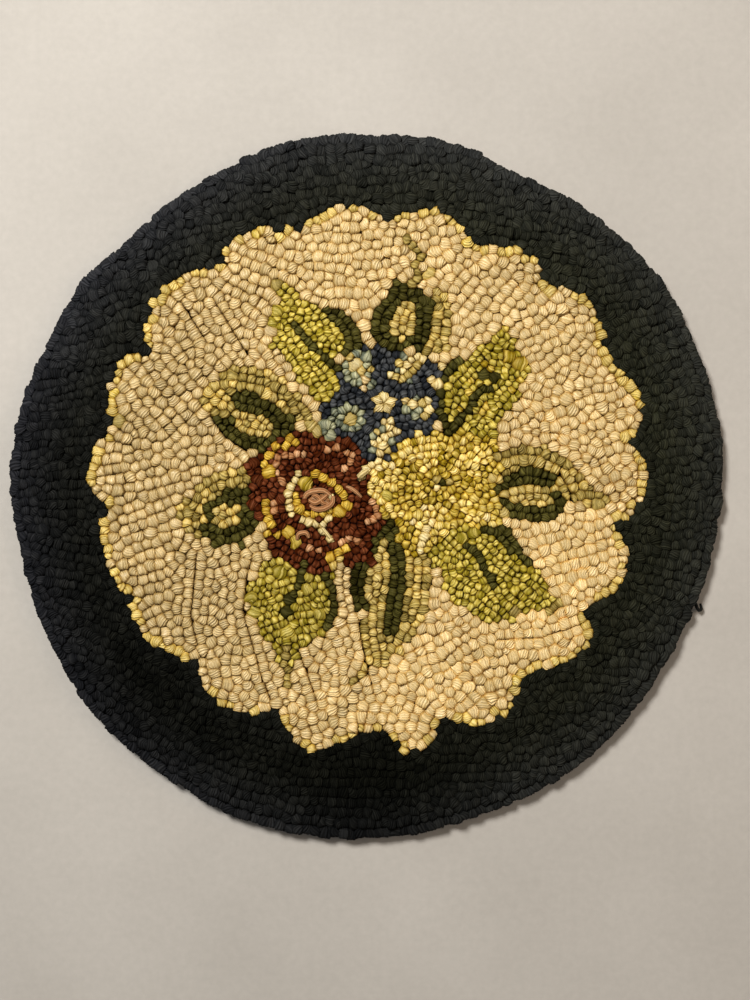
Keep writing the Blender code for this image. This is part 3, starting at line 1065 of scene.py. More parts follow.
def place_creases(chart):
    """A row of pale loops on either side of each long crease."""
    pitch = FIELD_LOOP * 0.94
    from_crease = FIELD_LOOP * 0.49
    stray = 0.35
    for line in CREASE_LINES:
        for out in (-from_crease, from_crease):
            for x, y, turn in walk(line, pitch):
                x += chart.stray(stray) * math.cos(turn) - out * math.sin(turn)
                y += chart.stray(stray) * math.sin(turn) + out * math.cos(turn)
                in_field = chart.pattern.at(x, y) == PatternMap.FIELD
                if in_field and chart.clear(x, y, FIELD_LOOP, CREASE_ROOM):
                    chart.add(Loop(x, y, FIELD_LOOP, "ecru", turn, give=0.05))


def seed_field(chart):
    """First loops of the pale field, one at each place whose row direction is given."""
    placed = []
    for row in FIELD_TURNS:
        x, y = to_pad(row.place_px)
        if chart.clear(x, y, FIELD_LOOP, CREASE_ROOM):
            placed.append(chart.add(Loop(x, y, FIELD_LOOP, "ecru", math.radians(row.turn_deg))))
    return placed


def make_chart(pad):
    scallop = scallop_line()
    chart = Chart(pad, PatternMap(scallop))
    place_star(chart)
    place_spots(chart)
    place_strokes(chart)
    motif = list(chart.loops)
    place_scallop(chart, scallop)
    place_creases(chart)
    rim = place_rim(chart)
    chart.spread(motif, PatternMap.MOTIF, MOTIF_ROOM)
    chart.spread(rim, (PatternMap.BORDER,), BORDER_ROOM)
    chart.spread(seed_field(chart), (PatternMap.FIELD,), FIELD_ROOM)
    for room, width in GAP_ROUNDS:
        chart.fill_gaps(room, width)
        chart.settle(2)
    return chart


class Grid:
    """The mesh of one loop: a cap of strand columns, and a skirt down to the cloth."""

    SKIRT_SCALE = 1.2
    TILE_HALF = 0.40

    def __init__(self, ridges, rows, bunched=1.0):
        self.ridges = ridges
        self.columns = 2 * ridges + 1
        along = np.linspace(-1.0, 1.0, rows)
        along = np.sign(along) * np.abs(along) ** bunched
        grid_s, grid_t = np.meshgrid(np.linspace(-1.0, 1.0, self.columns), along, indexing="ij")
        self.s = grid_s.ravel()
        self.t = grid_t.ravel()
        self.column = np.repeat(np.arange(self.columns), rows)
        self.is_ridge = self.column % 2 == 1

        index = np.arange(self.columns * rows).reshape(self.columns, rows)
        self.boundary = np.concatenate((index[:, 0], index[-1, 1:], index[-2::-1, -1], index[0, -2:0:-1]))
        cap = np.stack((index[:-1, :-1], index[1:, :-1], index[1:, 1:], index[:-1, 1:]), axis=-1)
        around = len(self.boundary)
        foot = index.size + np.arange(around)
        skirt = np.stack((self.boundary, foot, np.roll(foot, -1), np.roll(self.boundary, -1)), axis=-1)
        self.faces = np.concatenate((cap.reshape(-1, 4), skirt))
        self.points = index.size + around
        inner_valley = ~self.is_ridge & (self.column > 0) & (self.column < self.columns - 1)
        self.valley = np.concatenate((np.where(inner_valley, self.column, 0), np.zeros(around, dtype=int)))
        self.tile_u, self.tile_v = (
            np.concatenate((side, side[self.boundary] * self.SKIRT_SCALE)) * self.TILE_HALF + 0.5
            for side in (self.s, self.t)
        )


def inwardness(loop, pad):
    """How far in from the rim a loop of the border stands, up to 1."""
    return min(pad.inset(loop.x, loop.y) / INNER_REACH, 1.0)


def tone_with_painted_light(loop, pad):
    """How light the wool is at a loop, with painted light and shade in the patches over the black border."""
    tone = 1.0
    if loop.yarn == "charcoal":
        tone = RIM_TONE + (INNER_TONE - RIM_TONE) * inwardness(loop, pad)
    for tone_patch in TONE_PATCHES:
        if tone_patch.slot == YARNS[loop.yarn].slot:
            x, y = to_pad(tone_patch.place_px)
            apart = math.hypot(loop.x - x, loop.y - y) / tone_patch.reach_mm
            tone += tone_patch.change * math.exp(-apart * apart)
    return max(tone, DARKEST_TONE)


def hue_with_painted_light(loop, pad):
    """Colour factors of a loop: black ones are bluer at the rim, and bluer on the left by painted cool light.
    """
    if loop.yarn != "charcoal":
        return (1.0, 1.0, 1.0)
    blue = RIM_BLUE - LEFT_BLUE * loop.x / math.hypot(loop.x, loop.y)
    return (1.0, 1.0, blue * (1 - INNER_BLUE_LOSS * inwardness(loop, pad)))


# Shapes of the loops. A pair holds the value for small loops and the one for large loops
SMALL_LOOP = 3.4
LARGE_LOOP = 5.0
HEIGHT_SPREAD = (0.48, 0.32)
LEAN_SPREAD = (0.22, 0.12)
RELIEF_SCALE = (1.25, 1.0)
WAVINESS = (0.045, 0.020)
SHOULDER_DROP = 1.75
# How much farther a loop reaches that stands high, since it leans over its neighbours
OVERHANG = (0.09, 0.03)
OVERHANG_LIMIT = 1.5
DARK_OVERHANG = 0.03
# Share of the loops that stand turned any way, and how strands are turned, bent, fanned and twisted
ASTRAY_SHARE = 0.18
ASTRAY_TURN = 1.5
SLANT_SPREAD = 0.40
BEND_SPREAD = 0.30
FAN_SPREAD = 0.20
TWIST_SPREAD = 0.30
# Strands of one loop differ in width, height, and tilt along their length
COLUMN_SHIFT = 0.20
COLUMN_HEIGHT_SPREAD = 0.35
COLUMN_TILT_SPREAD = 0.5
RIDGE_OVERHANG = 0.6
# How full the caps are, as the power of their rounding: least and most, and added for large and black loops
FULLNESS = (2.2, 3.0)
LARGE_FULLNESS = 1.6
DARK_FULLNESS = 1.8
ROUNDING_LIMIT = 0.9995
# How sharp the corners of the outlines are
CORNERS = (14.0, 28.0)
RIM_CORNERS = 4.6
# How much less the shoulders drop: of black loops, of large pale ones, and with a change of tone, which over
# the black border is painted light
DARK_PACKING = 0.50
PALE_PACKING = 0.25
TONE_PACKING_PALE = 2.5
TONE_PACKING_DARK = 0.5
# A matted loop is felted flat, ragged and bumpy, and lies over its neighbours
MATTED_DROP = 1.1
MATTED_SINK = 0.3
MATTED_RELIEF = 0.45
MATTED_BUMPS = 0.10
RAGGED = (1.06, 0.09, 0.06)
# A loop of the star stands high, and has a point on its outer side
NEAT_RISE = 0.5
NEAT_POINT = 0.40
NEAT_POINT_POWER = 8
# How much narrower a loop is at its foot, and how much more on the outer and the inner side of the rim
FOOT_PULL = 0.97
RIM_PULL_OUT = 0.38
RIM_PULL_IN = 0.04

# Tints of the loops, again with pairs for small and large ones
LOOP_MIX = 1.4
LIGHT_SPREAD = 0.06
MATTED_LIGHT = 0.78
NEAT_LIGHT = 1.04
# Painted shade: the colour deepens towards the edge of a loop, and its light falls there, by powers of the
# radius; a painted highlight makes the middle paler
DEEPENING = (1.75, 1.05)
DEEPENING_START = 0.14
DEEPENING_POWER = 4
EDGE_SHADE = (0.34, 0.0)
DARK_EDGE_SHADE = -0.6
PACKED_EDGE_LIGHT = 0.8
EDGE_POWER = 10
MIDDLE_LIGHT = 1.06
# Light in the gaps between strands: least and most, and the powers added for large pale and for black loops
STRAND_GAP = (0.80, 1.0)
PALE_GAP_POWER = -0.5
DARK_GAP_POWER = 1.5
# Painted light on the skirts, whose colour deepens as painted shade: for all loops, added for large pale
# ones, and for black ones
FOOT_LIGHT = 1.15
LARGE_FOOT_LIGHT = 0.6
DARK_FOOT_LIGHT = 2.5
# How strongly the painted light and shade of the strands show: least and most, for matted loops, and the loss
# on large pale ones
CLEARNESS = (0.35, 1.0)
MATTED_CLEARNESS = 0.3
PALE_CLEARNESS_LOSS = 0.20
# Strand coordinates start anywhere in this range, and run on faster down the skirt
STRAND_RANGE = 500
SKIRT_RUN = 1.6


def by_size(pair, large):
    """The value between those for small and for large loops."""
    return pair[0] + (pair[1] - pair[0]) * large


def each(things, value):
    """An array with a value, or a row of values, for each thing."""
    return np.array([value(thing) for thing in things])


def loop_traits(loops, pad):
    """What the shapes and tints of many loops depend on, as arrays."""
    yarns = [YARNS[loop.yarn] for loop in loops]
    traits = SimpleNamespace(
        count=len(loops),
        x=each(loops, lambda loop: loop.x),
        y=each(loops, lambda loop: loop.y),
        width=each(loops, lambda loop: loop.width),
        turn=each(loops, lambda loop: loop.turn),
        rim=each(loops, lambda loop: loop.kind == "rim"),
        matted=each(loops, lambda loop: loop.kind == "matted"),
        neat=each(loops, lambda loop: loop.kind == "neat"),
        # Tone and hue, which over the black border carry painted light and shade
        tone=each(loops, lambda loop: tone_with_painted_light(loop, pad)),
        hue=each(loops, lambda loop: hue_with_painted_light(loop, pad)),
        top=each(loops, lambda loop: pad.top(loop.x, loop.y)),
        colour=each(yarns, lambda yarn: yarn.colour),
        second_colour=each(yarns, lambda yarn: yarn.second_colour),
        mottle=each(yarns, lambda yarn: yarn.mottle),
        relief=each(yarns, lambda yarn: yarn.relief),
        dark=each(yarns, lambda yarn: yarn.slot == "charcoal_wool"),
        pale=each(yarns, lambda yarn: yarn.slot == "ecru_wool"),
    )
    traits.large = np.clip((traits.width - SMALL_LOOP) / (LARGE_LOOP - SMALL_LOOP), 0.0, 1.0)
    # Where the tone is lighter, loops stand packed tighter, so that less shows of their gaps, and pale loops
    # get less painted shade at their edges
    traits.packed = (traits.tone - 1) * (TONE_PACKING_PALE * traits.pale + TONE_PACKING_DARK * traits.dark)
    return traits


def loop_places(traits, grid, walls, draw):
    """Places of the grid's points for each loop, and how far out on its cap each of them lies."""
    count = traits.count
    large = traits.large
    rim = traits.rim
    matted = traits.matted
    neat = traits.neat
    dark = traits.dark
    x = traits.x[:, None]
    y = traits.y[:, None]
    t = grid.t[None, :]

    # The strands lie across the row at a slant, and bend, fan out and twist
    astray = draw.random(count) < ASTRAY_SHARE
    any_way = draw.uniform(-ASTRAY_TURN, ASTRAY_TURN, count)
    slant = np.where(astray, any_way, draw.normal(0.0, SLANT_SPREAD, count))
    strand_turn = (traits.turn + np.where(neat, 0.0, slant))[:, None]
    bend = draw.normal(0.0, BEND_SPREAD, count)[:, None]
    fan = draw.normal(0.0, FAN_SPREAD, count)[:, None]
    twist = draw.normal(0.0, TWIST_SPREAD, count)[:, None]
    lift = draw.normal(0.0, 1.0, count)
    top = traits.top + lift * by_size(HEIGHT_SPREAD, large) * ~neat - MATTED_SINK * matted + NEAT_RISE * neat
    lean_x = (draw.normal(0.0, 1.0, count) * by_size(LEAN_SPREAD, large))[:, None]
    lean_y = (draw.normal(0.0, 1.0, count) * by_size(LEAN_SPREAD, large))[:, None]
    fullness = draw.uniform(*FULLNESS, count) + LARGE_FULLNESS * large + DARK_FULLNESS * dark
    fullness = np.where(matted, FULLNESS[0], fullness)[:, None]
    sharpness = np.where(rim, RIM_CORNERS, draw.uniform(*CORNERS, count) * (1 + large * ~rim))

    # Strands of one loop differ in width, so the columns of its grid shift sideways
    shifts = draw.normal(0.0, COLUMN_SHIFT / grid.ridges, (count, grid.columns))
    shifts[:, 0] = 0.0
    shifts[:, -1] = 0.0
    s = np.clip(grid.s[None, :] + shifts[:, grid.column], -1.0, 1.0)
    across = s * np.sqrt(1 - t ** 2 / 2)
    along = t * np.sqrt(1 - s ** 2 / 2)
    radius = np.minimum(np.hypot(across, along), 1.0)

    # Distance from the middle of the loop to its outline in each direction
    angle = np.arctan2(along, across) + strand_turn + bend * along + fan * across + twist * radius
    ray_x = np.cos(angle)
    ray_y = np.sin(angle)
    reach = walls.reach(ray_x, ray_y, sharpness)
    overhang = by_size(OVERHANG, large) * np.clip(lift, 0.0, OVERHANG_LIMIT) + DARK_OVERHANG * dark
    phase = draw.uniform(0.0, FULL_TURN, count)[:, None]
    waviness = np.where(rim, 0.0, by_size(WAVINESS, large))[:, None]
    reach *= 1 + (overhang * ~rim)[:, None] + waviness * np.sin(3 * angle + phase)
    outer_side = np.maximum(np.cos(angle - (traits.turn - math.pi / 2)[:, None]), 0.0)
    reach *= 1 + NEAT_POINT * neat[:, None] * outer_side ** NEAT_POINT_POWER
    ragged = RAGGED[0] + RAGGED[1] * np.sin(3 * angle + 2 * strand_turn) + RAGGED[2] * np.sin(7 * angle)
    reach = np.where(matted[:, None], reach * ragged, reach)

    # Ridges of the strands, each a little different and higher at one end than at the other
    column_height = draw.normal(0.0, COLUMN_HEIGHT_SPREAD, (count, grid.columns))
    column_height += np.where(np.arange(grid.columns) % 2, 1.0, -1.0)
    column_tilt = draw.normal(0.0, COLUMN_TILT_SPREAD, (count, grid.columns))
    relief = traits.relief * by_size(RELIEF_SCALE, large) * np.where(matted, MATTED_RELIEF, 1.0)
    ridge = (column_height[:, grid.column] + column_tilt[:, grid.column] * t) * relief[:, None]
    spread = radius * reach + ridge * radius ** 3 * RIDGE_OVERHANG
    cap_x = spread * ray_x
    cap_y = spread * ray_y

    # The outline sinks to a shoulder, which is low on the outer side of the rim
    outward = np.maximum((ray_x * x + ray_y * y) / np.maximum(np.hypot(x, y), 1.0), 0.0) * rim[:, None]
    packing = traits.packed + DARK_PACKING * dark + PALE_PACKING * large * traits.pale
    drop = np.where(matted, MATTED_DROP, SHOULDER_DROP * (1 - packing))
    shoulder = (top - drop)[:, None] * (1 - outward) + RIM_WIDEST * outward
    height = shoulder + (top[:, None] - shoulder) * np.sqrt(1 - radius ** fullness * ROUNDING_LIMIT)
    height += ridge * (1 - radius ** 3) + lean_x * cap_x + lean_y * cap_y
    height += draw.normal(0.0, 1.0, height.shape) * (MATTED_BUMPS * matted)[:, None]

    # The skirt pulls in under the shoulder
    edge = grid.boundary
    rim_pull = 1.0 - RIM_PULL_OUT * outward[:, edge] - RIM_PULL_IN * (1 - outward[:, edge])
    pull = np.where(rim[:, None], rim_pull, FOOT_PULL)
    foot = np.full(pull.shape, PILE_FOOT)
    places = np.stack((
        np.concatenate((cap_x, cap_x[:, edge] * pull), axis=1) + x,
        np.concatenate((cap_y, cap_y[:, edge] * pull), axis=1) + y,
        np.concatenate((height, foot), axis=1),
    ), axis=-1)
    return places, radius


def loop_tints(traits, grid, radius, draw):
    """Colour of the grid's points for each loop, and how strongly the painted light and shade of its strands
    show, as a fourth value.

    Loops differ, strands differ less, and the colour carries painted light and shade: it is paler in the
    middle of a loop, darker and deeper in colour into the gaps, and lighter at the edges of black loops.
    """
    count = traits.count
    large = traits.large
    dark = traits.dark
    large_pale = large * traits.pale
    matted = traits.matted
    mix = draw.beta(LOOP_MIX, LOOP_MIX, count)[:, None]
    mix = mix + draw.normal(0.0, 1.0, (count, grid.columns)) * traits.mottle[:, None]
    mix = np.clip(mix, 0.0, 1.0)[:, grid.column, None]
    light = np.exp(draw.normal(0.0, LIGHT_SPREAD, count)) * traits.tone
    light *= np.where(matted, MATTED_LIGHT, 1.0) * np.where(traits.neat, NEAT_LIGHT, 1.0)
    strand_gap = draw.uniform(*STRAND_GAP, count) ** (1 + PALE_GAP_POWER * large_pale + DARK_GAP_POWER * dark)
    valley = np.where(grid.is_ridge[None, :] | matted[:, None], 1.0, strand_gap[:, None])
    # Painted shade at the edges of a loop, and painted light at the edges of black loops
    edge_shade = by_size(EDGE_SHADE, large) - PACKED_EDGE_LIGHT * traits.packed * traits.pale
    edge_shade = np.where(dark, DARK_EDGE_SHADE, edge_shade)[:, None]
    shade = light[:, None] * valley * (MIDDLE_LIGHT - edge_shade * radius ** EDGE_POWER)
    tint = traits.colour[:, None, :] * (1 - mix) + traits.second_colour[:, None, :] * mix
    tint *= traits.hue[:, None, :]
    # Painted shade deepens the colour towards the edge, and a painted highlight pales the middle
    richness = traits.colour.max(axis=1)[:, None] ** 0.5
    deepening = by_size(DEEPENING, large)[:, None] * radius ** DEEPENING_POWER
    depth = 1 + richness * (deepening - DEEPENING_START)
    cap_tint = tint ** depth[:, :, None] * shade[:, :, None]
    # Painted light on the skirts, whose colour deepens as painted shade
    foot_light = np.where(dark, DARK_FOOT_LIGHT, FOOT_LIGHT + LARGE_FOOT_LIGHT * large_pale)
    foot_tint = tint[:, grid.boundary] ** (1 + richness)[:, :, None] * foot_light[:, None, None]
    clearness = draw.uniform(*CLEARNESS, count) * (1 - PALE_CLEARNESS_LOSS * large_pale)
    clearness = np.where(matted, MATTED_CLEARNESS, clearness)[:, None, None]
    clearness = np.broadcast_to(clearness, (count, grid.points, 1))
    return np.concatenate((np.concatenate((cap_tint, foot_tint), axis=1), clearness), axis=2)


def strand_places(traits, grid, draw):
    """Strand coordinates: across, counted in strands, and along them, in millimetres."""
    edge = grid.boundary
    shift = draw.integers(0, STRAND_RANGE, (traits.count, 2))
    across = (grid.s + 1) * grid.ridges / 2
    across = np.concatenate((across, across[edge]))[None, :] + shift[:, 0:1]
    along = grid.t[None, :] * traits.width[:, None] / 2
    along = np.concatenate((along, along[:, edge] * SKIRT_RUN), axis=1) + shift[:, 1:2]
    return np.stack((across, along), axis=-1)


def shape_loops(loops, grid, tree, chart, draw):
    """Places, tints and strand coordinates of every loop of one kind at once."""
    walls = Walls(loops, chart.loops, tree, PRESS_IN_ROW, PRESS_OF_ROWS)
    traits = loop_traits(loops, chart.pad)
    places, radius = loop_places(traits, grid, walls, draw)
    tints = loop_tints(traits, grid, radius, draw)
    return places, tints, strand_places(traits, grid, draw)


def add_maps(data, tints, maps):
    """A colour at each vertex of a mesh, and its maps at each corner of a face."""
    layer = data.color_attributes.new("tint_with_painted_light", "FLOAT_COLOR", "POINT")
    layer.data.foreach_set("color", np.asarray(tints, dtype=np.float32).ravel())
    for name, values in maps.items():
        uv = data.uv_layers.new(name=name)
        uv.uv.foreach_set("vector", np.asarray(values, dtype=np.float32).ravel())


def join_loops(name, groups):
    """One mesh of all the loops of a piece: groups pairs a grid with the shapes of its loops.

    It is smooth, with creases between the strands, and its finish map gives each loop a square of its own.
    """
    side = math.ceil(math.sqrt(sum(len(places) for grid, (places, tints, strand) in groups)))
    points, faces, all_tints, strands, tiles, valleys = [], [], [], [], [], []
    first_point = 0
    first_tile = 0
    for grid, (places, tints, strand) in groups:
        count = len(places)
        starts = first_point + np.arange(count) * grid.points
        faces.append((grid.faces[None, :, :] + starts[:, None, None]).reshape(-1, 4))
        tile = first_tile + np.arange(count)[:, None]
        tile_u = tile % side + grid.tile_u[None, :]
        tile_v = tile // side + grid.tile_v[None, :]
        tiles.append(np.stack((tile_u, tile_v), axis=-1).reshape(-1, 2) / side)
        points.append(places.reshape(-1, 3))
        all_tints.append(tints.reshape(-1, 4))
        strands.append(strand.reshape(-1, 2))
        valleys.append(np.tile(grid.valley, count))
        first_point += count * grid.points
        first_tile += count
    faces = np.concatenate(faces)
    points = np.concatenate(points)
    data = bpy.data.meshes.new(name)
    data.vertices.add(len(points))
    data.vertices.foreach_set("co", (points * MM).astype(np.float32).ravel())
    data.loops.add(faces.size)
    data.loops.foreach_set("vertex_index", faces.astype(np.int32).ravel())
    data.polygons.add(len(faces))
    data.polygons.foreach_set("loop_start", np.arange(0, faces.size, 4, dtype=np.int32))
    data.update(calc_edges=True)
    data.shade_smooth()
    ends = np.empty(2 * len(data.edges), dtype=np.int32)
    data.edges.foreach_get("vertices", ends)
    valleys = np.concatenate(valleys)[ends]
    crease = data.attributes.new("sharp_edge", "BOOLEAN", "EDGE")
    crease.data.foreach_set("value", (valleys[0::2] > 0) & (valleys[0::2] == valleys[1::2]))
    corners = faces.ravel()
    maps = {"strand": np.concatenate(strands)[corners], "OFBake": np.concatenate(tiles)[corners]}
    add_maps(data, np.concatenate(all_tints), maps)
    return data


class Nodes:
    """The nodes of a new material, around its shader."""

    def __init__(self, name):
        self.material = bpy.data.materials.new(name)
        self.material.use_nodes = True
        self.tree = self.material.node_tree
        self.shader = self.tree.nodes["Principled BSDF"]
        self.place = self.add("TexCoord").outputs["Object"]

    def feed(self, node, inputs):
        """Give a node's inputs their values, or link them to the outputs of other nodes."""
        for name, value in inputs.items():
            if isinstance(value, bpy.types.NodeSocket):
                self.tree.links.new(value, node.inputs[name])
            else:
                node.inputs[name].default_value = value

    def add(self, kind, inputs=None, **settings):
        node = self.tree.nodes.new("ShaderNode" + kind)
        for name, value in settings.items():
            setattr(node, name, value)
        self.feed(node, inputs or {})
        return node

    def scaled(self, vector, scale, turn=0.0):
        """A vector scaled along its axes, then turned."""
        inputs = {"Vector": vector, "Scale": scale, "Rotation": (0.0, 0.0, turn)}
        return self.add("Mapping", inputs, vector_type="POINT").outputs["Vector"]

    def noise(self, vector, detail, scale=1.0, roughness=0.55, output="Fac"):
        inputs = {"Vector": vector, "Scale": scale, "Detail": detail, "Roughness": roughness}
        return self.add("TexNoise", inputs).outputs[output]

    def spread(self, value, low, high, from_low=0.3, from_high=0.7):
        """A value spread over a new range."""
        inputs = {"Value": value, "From Min": from_low, "From Max": from_high, "To Min": low, "To Max": high}
        return self.add("MapRange", inputs).outputs["Result"]

    def times(self, one, two):
        return self.add("Math", {0: one, 1: two}, operation="MULTIPLY").outputs["Value"]

    def tinted(self, colour, factor):
        """A colour made lighter or darker by a factor that varies over the surface."""
        inputs = {"Vector": colour, "Scale": factor}
        return self.add("VectorMath", inputs, operation="SCALE").outputs["Vector"]

    def bump(self, height, strength, distance, finer=None):
        """The surface's direction over small bumps, which may carry finer ones."""
        inputs = {"Strength": strength, "Distance": distance, "Height": height}
        if finer is not None:
            inputs["Normal"] = finer
        return self.add("Bump", inputs).outputs["Normal"]


# Light and dark of the fibres, the tufts and the patches of the wool
FIBRE_LIGHT = (0.84, 1.14)
TUFT_LIGHT = (0.90, 1.08)
PATCH_LIGHT = (0.94, 1.05)
# Painted light and shade over the strands, lighter on top of each: for the palest wool, how much wider it is
# for the darkest, and how much the colour deepens in the painted shade and clears in the painted highlight
STRAND_LIGHT = (0.82, 1.08)
STRAND_CONTRAST = (-0.28, 0.22)
STRAND_DEEPENING = (0.36, -0.06)
ROUGHNESS_SPREAD = 0.08
# How glossy the wool's lighter places are, between these shares of its own lightness
SHINE = 1.25
SHINE_FROM = 0.15
SHINE_TO = 0.75


def wool_material(name, gloss, lightness):
    """Wool: loop tints with painted shade, fine twisted fibres along the strands, matt with a soft sheen."""
    nodes = Nodes(name)
    tint = nodes.add("VertexColor", layer_name="tint_with_painted_light")
    strand = nodes.add("UVMap", uv_map="strand").outputs["UV"]
    fibre = nodes.noise(nodes.scaled(strand, (5.0, 1.1, 1.0), turn=0.35), detail=3.0, roughness=0.6)
    tuft = nodes.noise(nodes.scaled(strand, (1.2, 0.9, 1.0)), detail=2.0)
    patch = nodes.noise(nodes.place, detail=2.0, scale=60.0)

    # One on top of each strand and zero between them, with the strands wandering a little
    wander = nodes.noise(nodes.scaled(strand, (0.35, 0.55, 1.0)), detail=1.0, roughness=0.5, output="Color")
    swayed = nodes.add("VectorMath", {0: wander, 1: (0.5, 0.0, 0.0), 2: strand}, operation="MULTIPLY_ADD")
    across = nodes.add("SeparateXYZ", {"Vector": swayed.outputs["Vector"]}).outputs["X"]
    sine = nodes.add("Math", {0: nodes.times(across, math.pi)}, operation="SINE").outputs["Value"]
    round_strand = nodes.times(sine, sine)

    # Painted strand light and shade: dark yarns show it more, and pale ones have deeper colour between them
    richness = lightness ** 0.5
    low, high = (
        light + contrast * (1 - richness) ** 2 for light, contrast in zip(STRAND_LIGHT, STRAND_CONTRAST)
    )
    strand_light = nodes.spread(round_strand, low, high, 0.0, 1.0)
    mixed = {"Factor": tint.outputs["Alpha"], "A": 1.0, "B": strand_light}
    clearness = nodes.add("Mix", mixed, data_type="FLOAT").outputs["Result"]
    factor = nodes.times(nodes.spread(fibre, *FIBRE_LIGHT), nodes.spread(tuft, *TUFT_LIGHT))
    factor = nodes.times(nodes.times(factor, nodes.spread(patch, *PATCH_LIGHT)), clearness)
    gammas = (1 + deepening * richness for deepening in STRAND_DEEPENING)
    gamma = nodes.spread(clearness, *gammas, low, high)
    deeper = nodes.add("Gamma", {"Color": tint.outputs["Color"], "Gamma": gamma}).outputs["Color"]
    roughness = MATT_ROUGHNESS - GLOSS_SMOOTHING * gloss
    fibre_bump = nodes.bump(fibre, strength=0.6, distance=0.00010)
    nodes.feed(nodes.shader, {
        "Base Color": nodes.tinted(deeper, factor),
        "Roughness": nodes.spread(fibre, roughness + ROUGHNESS_SPREAD, roughness - ROUGHNESS_SPREAD),
        "Normal": nodes.bump(round_strand, strength=0.8, distance=0.00032, finer=fibre_bump),
        "Specular IOR Level": nodes.spread(
            tint.outputs["Color"], 0.0, SHINE * gloss, SHINE_FROM * lightness, SHINE_TO * lightness),
        "Sheen Weight": SHEEN * gloss,
        "Sheen Roughness": 0.5,
    })
    return nodes.material


def cloth_material():
    """Foundation cloth: a plain weave of coarse cotton, with painted shade of the loops on its upper side."""
    nodes = Nodes("foundation_cotton")
    weave = nodes.add("TexChecker", {
        "Vector": nodes.place,
        "Scale": 1000.0,
        "Color1": (0.46, 0.385, 0.275, 1.0),
        "Color2": (0.36, 0.295, 0.205, 1.0),
    })
    slub = nodes.noise(nodes.scaled(nodes.place, (1.0, 0.12, 1.0)), detail=3.0, scale=900.0)
    stain = nodes.noise(nodes.place, detail=3.0, scale=22.0)
    facing = nodes.add("SeparateXYZ", {"Vector": nodes.add("TexCoord").outputs["Normal"]})
    factor = nodes.times(nodes.spread(slub, 0.82, 1.12), nodes.spread(stain, 0.9, 1.06))
    # Painted shade: the cloth is much darker where it faces up, under the loops
    factor = nodes.times(factor, nodes.spread(facing.outputs["Z"], 1.0, 0.15, -0.2, 0.4))
    nodes.feed(nodes.shader, {
        "Base Color": nodes.tinted(weave.outputs["Color"], factor),
        "Roughness": nodes.spread(slub, 0.96, 0.86),
        "Normal": nodes.bump(nodes.times(weave.outputs["Fac"], slub), strength=0.8, distance=0.0003),
        "Specular IOR Level": 0.2,
    })
    return nodes.material


def foundation(pad):
    """The cloth that the loops are pulled through: a thin closed disc with its edge turned under as a hem."""
    segments = 240
    inner = 60.0
    # The hem's edge wanders in waves: height in millimetres, how often each comes round, and where it starts
    waves = ((0.5, 7, 1.0), (0.3, 17, 0.0))
    # Distance in from the rim and height: from the middle of the top, over the edge, to the middle below
    profile = (
        (inner, CLOTH_TOP), (20.0, CLOTH_TOP), (6.0, CLOTH_TOP), (3.6, CLOTH_TOP), (2.9, 1.0), (2.7, 0.65),
        (2.9, 0.3), (3.6, 0.04), (5.0, 0.0), (12.0, 0.0), (HEM_WIDTH - 1.0, 0.0),
        (HEM_WIDTH, CLOTH_RECESS * 0.4), (HEM_WIDTH + 0.3, CLOTH_RECESS), (inner, CLOTH_RECESS),
    )
    angles = [FULL_TURN * step / segments for step in range(segments)]
    points = []
    for inset, z in profile:
        for angle in angles:
            reach = pad.rim(angle) - inset
            if inset > HEM_WIDTH - 2:
                reach += sum(height * math.sin(times * angle + start) for height, times, start in waves)
            points.append((reach * math.cos(angle), reach * math.sin(angle), z))
    faces = []
    for low in range(0, len(points) - segments, segments):
        high = low + segments
        for step in range(segments):
            beside = (step + 1) % segments
            faces.append((low + step, high + step, high + beside, low + beside))
    middle_top = len(points)
    last = middle_top - segments
    points += [(0.0, 0.0, CLOTH_TOP), (0.0, 0.0, CLOTH_RECESS)]
    for step in range(0, segments, 2):
        faces.append((step, step + 1, (step + 2) % segments, middle_top))
        faces.append((last + (step + 2) % segments, last + step + 1, last + step, middle_top + 1))
    data = bpy.data.meshes.new("foundation_cloth")
    data.from_pydata([(x * MM, y * MM, z * MM) for x, y, z in points], [], faces)
    data.shade_smooth()
    data.materials.append(cloth_material())
    cloth = bpy.data.objects.new("foundation_cloth", data)
    bpy.context.scene.collection.objects.link(cloth)
    return cloth


def smooth_line(line, steps):
    """A line through the given points, with several steps between each two."""
    points = [Vector(point) for point in line]
    smooth = []
    for index in range(len(points) - 1):
        start, end = points[index:index + 2]
        slope_start = (end - points[max(index - 1, 0)]) / 2
        slope_end = (points[min(index + 2, len(points) - 1)] - start) / 2
        cubic = 2 * start - 2 * end + slope_start + slope_end
        square = -3 * start + 3 * end - 2 * slope_start - slope_end
        for step in range(steps):
            share = step / steps
            smooth.append(((cubic * share + square) * share + slope_start) * share + start)
    smooth.append(points[-1])
    return smooth


